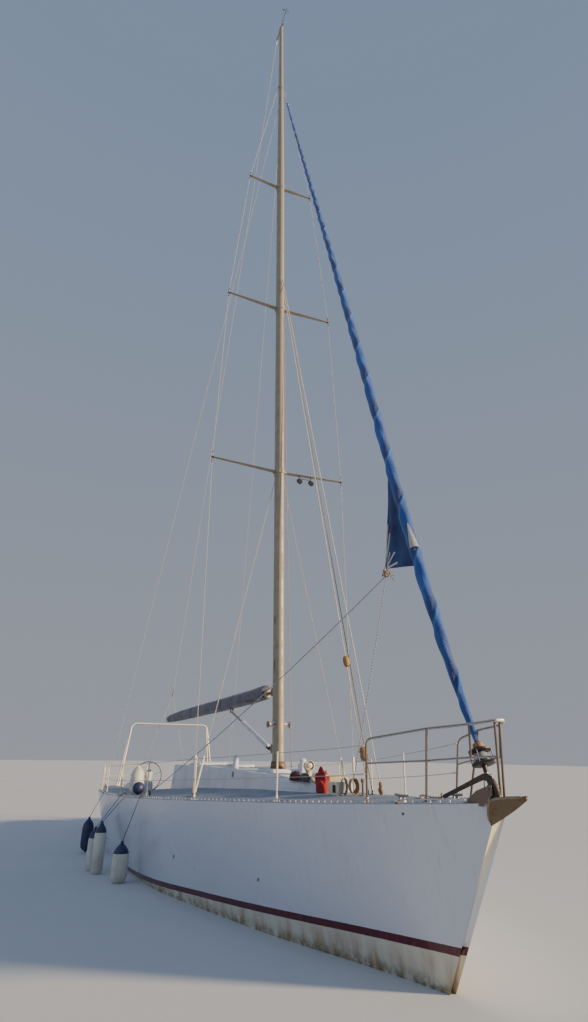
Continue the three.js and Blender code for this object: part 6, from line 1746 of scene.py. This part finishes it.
# Gear on the foredeck and the roof ahead of the mast
def heap(centre, size, seed, rings=14, sides=30, mat=0):
    # a crumpled heap: a dome whose radius is folded by three waves round and up, flat where it lies
    up = np.linspace(0, 1, rings)[:, None]
    turn = circle(sides)[None, :]
    fold = (1 + 0.2 * np.sin(3 * turn + seed + 5 * up) + 0.12 * np.sin(7 * turn - 2 * seed + 9 * up)
        + 0.07 * np.sin(13 * turn + 21 * up))
    out = np.sqrt(np.clip(1 - up ** 2.2, 0, 1)) * fold
    high = size[2] * up * (1 + 0.16 * np.sin(2 * turn + seed) * (1 - up))
    points = (np.asarray(centre, float)
        + np.stack([out * np.cos(turn) * size[0], out * np.sin(turn) * size[1], high + 0 * out], -1))
    return grid(points, mat=mat)


ventSide = [(0.07, 0), (0.07, 0.012), (0.052, 0.02), (0.05, 0.1), (0.058, 0.13), (0.082, 0.165), (0.088, 0.2),
    (0.075, 0.235), (0.04, 0.252), (0.01, 0.255)]
ventAt = onRoof(3.35, 0.1)
vents = [spun(ventSide, ventAt, (0, 0, 1), 28),
    spun([(0.075, 0.0), (0.08, 0.03), (0.072, 0.034), (0.06, 0.02), (0.058, 0.006)],
    ventAt + [0.045, 0, 0.195], (1, -0.35, 0.1), 24),
    spun([(0.055, 0.0), (0.055, 0.002)], ventAt + [0.062, -0.005, 0.197], (1, -0.35, 0.1), 24, 1)]
piece("cowl_vent", vents, [creamPlastic, blackRubber])
boxVentAt = onRoof(4.5, -0.3)
piece("box_vent", [block(boxVentAt - [0.09, 0.07, 0.002], boxVentAt + [0.09, 0.07, 0.16], 0.03),
    spun([(0.05, 0), (0.062, 0.03), (0.062, 0.07), (0.03, 0.09), (0.006, 0.092)], boxVentAt + [0, 0, 0.155],
    (0, 0, 1), 24)], houseWhite)
# Each heap of sail ties: aft, out to starboard, where the roof is read off for it, size, seed, cloth
heaps = [(3.14, 0.415, 3.14, 0.4, (0.2, 0.058, 0.14), 0.4, maroonCloth),
    (2.86, 0.385, 2.86, 0.38, (0.15, 0.05, 0.13), 1.7, darkCloth),
    (2.69, 0.25, 2.7, 0.25, (0.07, 0.1, 0.13), 2.9, creamCanvas),
    (2.7, 0.08, 2.7, 0.08, (0.06, 0.08, 0.17), 4.1, pinkCloth)]
tieShapes = [heap(at(aft, side, roofZ(readAft, readSide) - 0.012), size, seed, mat=k)
    for k, (aft, side, readAft, readSide, size, seed, _) in enumerate(heaps)]
piece("sail_ties", tieShapes, [row[-1] for row in heaps], angle=70)
boxAt = onDeck(1.93, 0.3)
piece("deck_box", [block(boxAt + [-0.16, -0.07, -0.004], boxAt + [0.16, 0.07, 0.15], 0.03),
    block(boxAt + [0.02, -0.076, 0.03], boxAt + [0.1, -0.068, 0.125], 0.01, 1),
    block(boxAt + [-0.165, -0.075, 0.15], boxAt + [0.165, 0.075, 0.165], 0.02)], [creamPlastic, blackRubber])
footAt = onDeck(2.43, 0.06)
piece("fairlead_board", [block(footAt - [0.02, 0.2, 0.003], footAt + [0.02, 0.2, 0.21], 0.015),
    rod(footAt + [0.0, -0.24, 0.225], footAt + [0.0, 0.24, 0.225], 0.014, 14)], creamCanvas)
post = onDeck(1.36, 0.2)
tackGear = [spun([(0.05, -0.004), (0.05, 0.008), (0.018, 0.014), (0.016, 0.15), (0.026, 0.16), (0.026, 0.2),
    (0.012, 0.21)], post, (0, 0, 1), 20, 0),
    spun([(0.04, -0.016), (0.046, -0.01), (0.046, 0.01), (0.04, 0.016)], onDeck(1.41, -0.1, 0.05),
    (0, 1, 0.2), 24, 1), spun([(0.034, -0.014), (0.04, -0.009), (0.04, 0.009), (0.034, 0.014)],
    onDeck(1.41, -0.1, 0.125), (0.2, 1, 0), 24, 1), rod(onDeck(1.41, -0.1, -0.004), onDeck(1.41, -0.1, 0.16),
    0.008, 12)]
piece("deck_blocks", tackGear, [steel, brownBlock])


def hank(foot, length, width, turns, radius):
    # one rope made up in a hank that stands on the deck: an oval a turn, each further aft and smaller
    t = np.linspace(0, 1, turns * 30)
    a = 2 * math.pi * turns * t
    size = 1 - 0.035 * turns * t
    across = 0.5 * width * np.sin(a) * size
    rise = 0.5 * length * (1 - np.cos(a) * size)
    return np.asarray(foot, float) + np.stack([-(t * turns) * 2.3 * radius, across, rise + radius], -1)


hanks = {"hank_tan": (onDeck(1.57, 0.2), 0.205, 0.13, 6, 0.007, tanRope),
    "hank_dark": (onDeck(1.7, 0.29), 0.215, 0.09, 4, 0.006, blueRope)}
for name, (foot, length, width, turns, radius, finish) in hanks.items():
    run = hank(foot, length, width, turns, radius)
    obj = piece(name, [tube(run, radius, 10)], finish)

# Running rigging, all of it drawn taut: halyards made off on the foredeck, and the genoa's sheets
def mastFront(z, side=0.0):
    # a point on the mast's front face
    return at(mastAft(z) - 0.11, side, z)


clewPoint = clewAt - [0, 0, 0.1]
halyardEnds = {"halyard_one": (mastFront(14.8, 0.03), onDeck(1.52, 0.03, 0.05), whiteRope),
    "halyard_two": (mastFront(14.7, -0.02), onDeck(1.5, -0.02, 0.05), tanRope),
    "halyard_three": (mastFront(14.5, -0.05), onDeck(1.41, -0.1, 0.1), whiteRope),
    "mast_halyard": (mastFront(14.4, -0.06), at(4.62, -0.12, 2.0), redRope)}
for name, (high, low, finish) in halyardEnds.items():
    piece(name, [tube(hanging(high, low, 0.02, 60), 0.008, 8)], finish)
high, low, _ = halyardEnds["halyard_one"]
downLine = unit(low - high)
blockAt = high + (low - high) * 0.864
lowBlock = mastFront(14.8) + (onDeck(1.52, 0, 0.05) - mastFront(14.8)) * 0.958
blockRows = [(0.01, -0.1), (0.04, -0.095), (0.052, -0.05), (0.05, 0.02), (0.034, 0.06), (0.014, 0.07)]
halyardBlocks = [spun(blockRows, blockAt, downLine, 20),
    spun([(0.018, 0.0), (0.055, 0.01), (0.066, 0.05), (0.05, 0.085), (0.06, 0.12), (0.052, 0.17),
    (0.016, 0.18)], lowBlock, downLine, 24)]
piece("halyard_blocks", halyardBlocks, brownBlock)
# each sheet's far end and how much it hangs through
sheetBlock = at(7.0, 2.0, sheerZ(7.0) + 0.09)
sheets = {"genoa_sheet": (sheetBlock, 0.1), "genoa_sheet_lazy": (at(1.6, 0.2, deckZ(1.6, 0.2) + 0.2), 0.03)}
for name, (end, sag) in sheets.items():
    piece(name, [tube(hanging(clewPoint, end, sag, 70), 0.0075, 8)], blueRope)
knotAt = clewAt - [0, 0, 0.07]
t = np.linspace(0, 1, 150)
swell = 1 + 0.3 * np.cos(6 * math.pi * t)
knotRun = (knotAt + 0.045 * np.stack([np.sin(4 * math.pi * t) * swell, np.cos(4 * math.pi * t) * swell,
    0.9 * np.sin(6 * math.pi * t)], -1))
tails = [tube(np.array([knotAt, knotAt + [0.02, 0.05, -0.03], knotAt + [0.04, 0.11, -0.02 - 0.09 * k]]),
    0.007, 10) for k in (0, 1)]
piece("sheet_knot", [tube(knotRun, 0.01, 10)] + tails, tanRope)
padeyes = [spun([(0.034, -0.004), (0.034, 0.006), (0.012, 0.012), (0.012, 0.055)], onDeck(aft, side),
    (0, 0, 1), 18) for aft, side in ((1.52, 0.03), (1.5, -0.02))]
piece("halyard_eyes", padeyes, steel)
piece("sheet_block",
    [spun([(0.012, -0.02), (0.045, -0.016), (0.045, 0.016), (0.012, 0.02)], sheetBlock, (0, 1, 0), 24),
    rod(sheetBlock - [0, 0, 0.11], sheetBlock, 0.012, 12, 1)], [blackPlastic, steel])

# Starboard side: a glossy buoy ahead of the stowed fender, outlets in the topside and a vent on the roof
ballSide, ballRadius = sheerHalf(stowAft) - 0.33, 0.128
ballAt = onDeck(8.1, ballSide, 0.127)
t = np.linspace(0, math.pi, 28)
ballRows = np.stack([np.maximum(ballRadius * np.sin(t), 0.002), -ballRadius * np.cos(t)], -1)
piece("deck_buoy", [spun(ballRows, ballAt, (0.3, -0.5, 0.8), 40)], vinylNavy)
# each outlet: aft, height, radius and finish
outlets = [(0.0, 1.628, 0.011, 0), (5.05, 0.62, 0.02, 1), (2.55, 0.62, 0.018, 1)]


def hullSide(aft, z):
    # half breadth and place aft at a height on the topside, by the topside's quadratic
    sa, wa, _, sh, sz, wh, wz, _ = sectionsFine[np.argmin(np.abs(sectionsFine[:, 0] - aft))]
    k = np.clip((sz - z) / (sz - wz), 0, 1)
    return ((1 - k) ** 2 * sh + 2 * k * (1 - k) * ((sh + wh) / 2 + 0.012 * sh) + k * k * wh,
        (1 - k) * sa + k * wa)


outletShapes = []
for aft, z, size, finish in outlets:
    half, along = hullSide(aft, z)
    rows = [(size, -0.004), (size * 1.35, 0.001), (size * 1.3, 0.006), (size, 0.007), (size * 0.9, 0.002)]
    outletShapes.append(spun(rows, at(along, half, z), (0.12, -1, 0.08), 22, finish))
piece("skin_fittings", outletShapes, [blackRubber, rustAndSunlitEdge])
ventRows = [(0.055, -0.004), (0.055, 0.15), (0.048, 0.2), (0.03, 0.235), (0.006, 0.245)]
piece("side_gear", [spun(ventRows, onRoof(6.0, 0.52), (0, 0, 1), 24)], houseWhite)

# Light patch on the rolled sail beside the clew: a triangle laid 4 mm off the roll on the side that the
# camera sees, its point up the stay
patchD = np.linspace(2.73, 3.13, 24)
toCamera = unit(np.array(camera["place"]) - onRoll(patchD))
rollSide, rollUp, _ = frameOf(stayDir)
middle = np.arctan2((toCamera * rollUp).sum(-1), (toCamera * rollSide).sum(-1))
reach = 0.06 + 0.72 * (3.13 - patchD) / 0.4
fan = middle[:, None] + 0.12 + reach[:, None] * np.linspace(-1, 1, 20)[None, :]
patchSize = np.interp(patchD, rollRows[:, 0], rollRows[:, 1])[:, None] + 0.004
surface = (onRoll(patchD)[:, None] + patchSize[..., None] * (np.cos(fan)[..., None] * rollSide
    + np.sin(fan)[..., None] * rollUp))
piece("roll_patch", [grid(surface, closed=False, caps=False)], strapCloth, solidify=0.0015)

print("pieces", len(triangleTotal), "triangles", sum(triangleTotal))
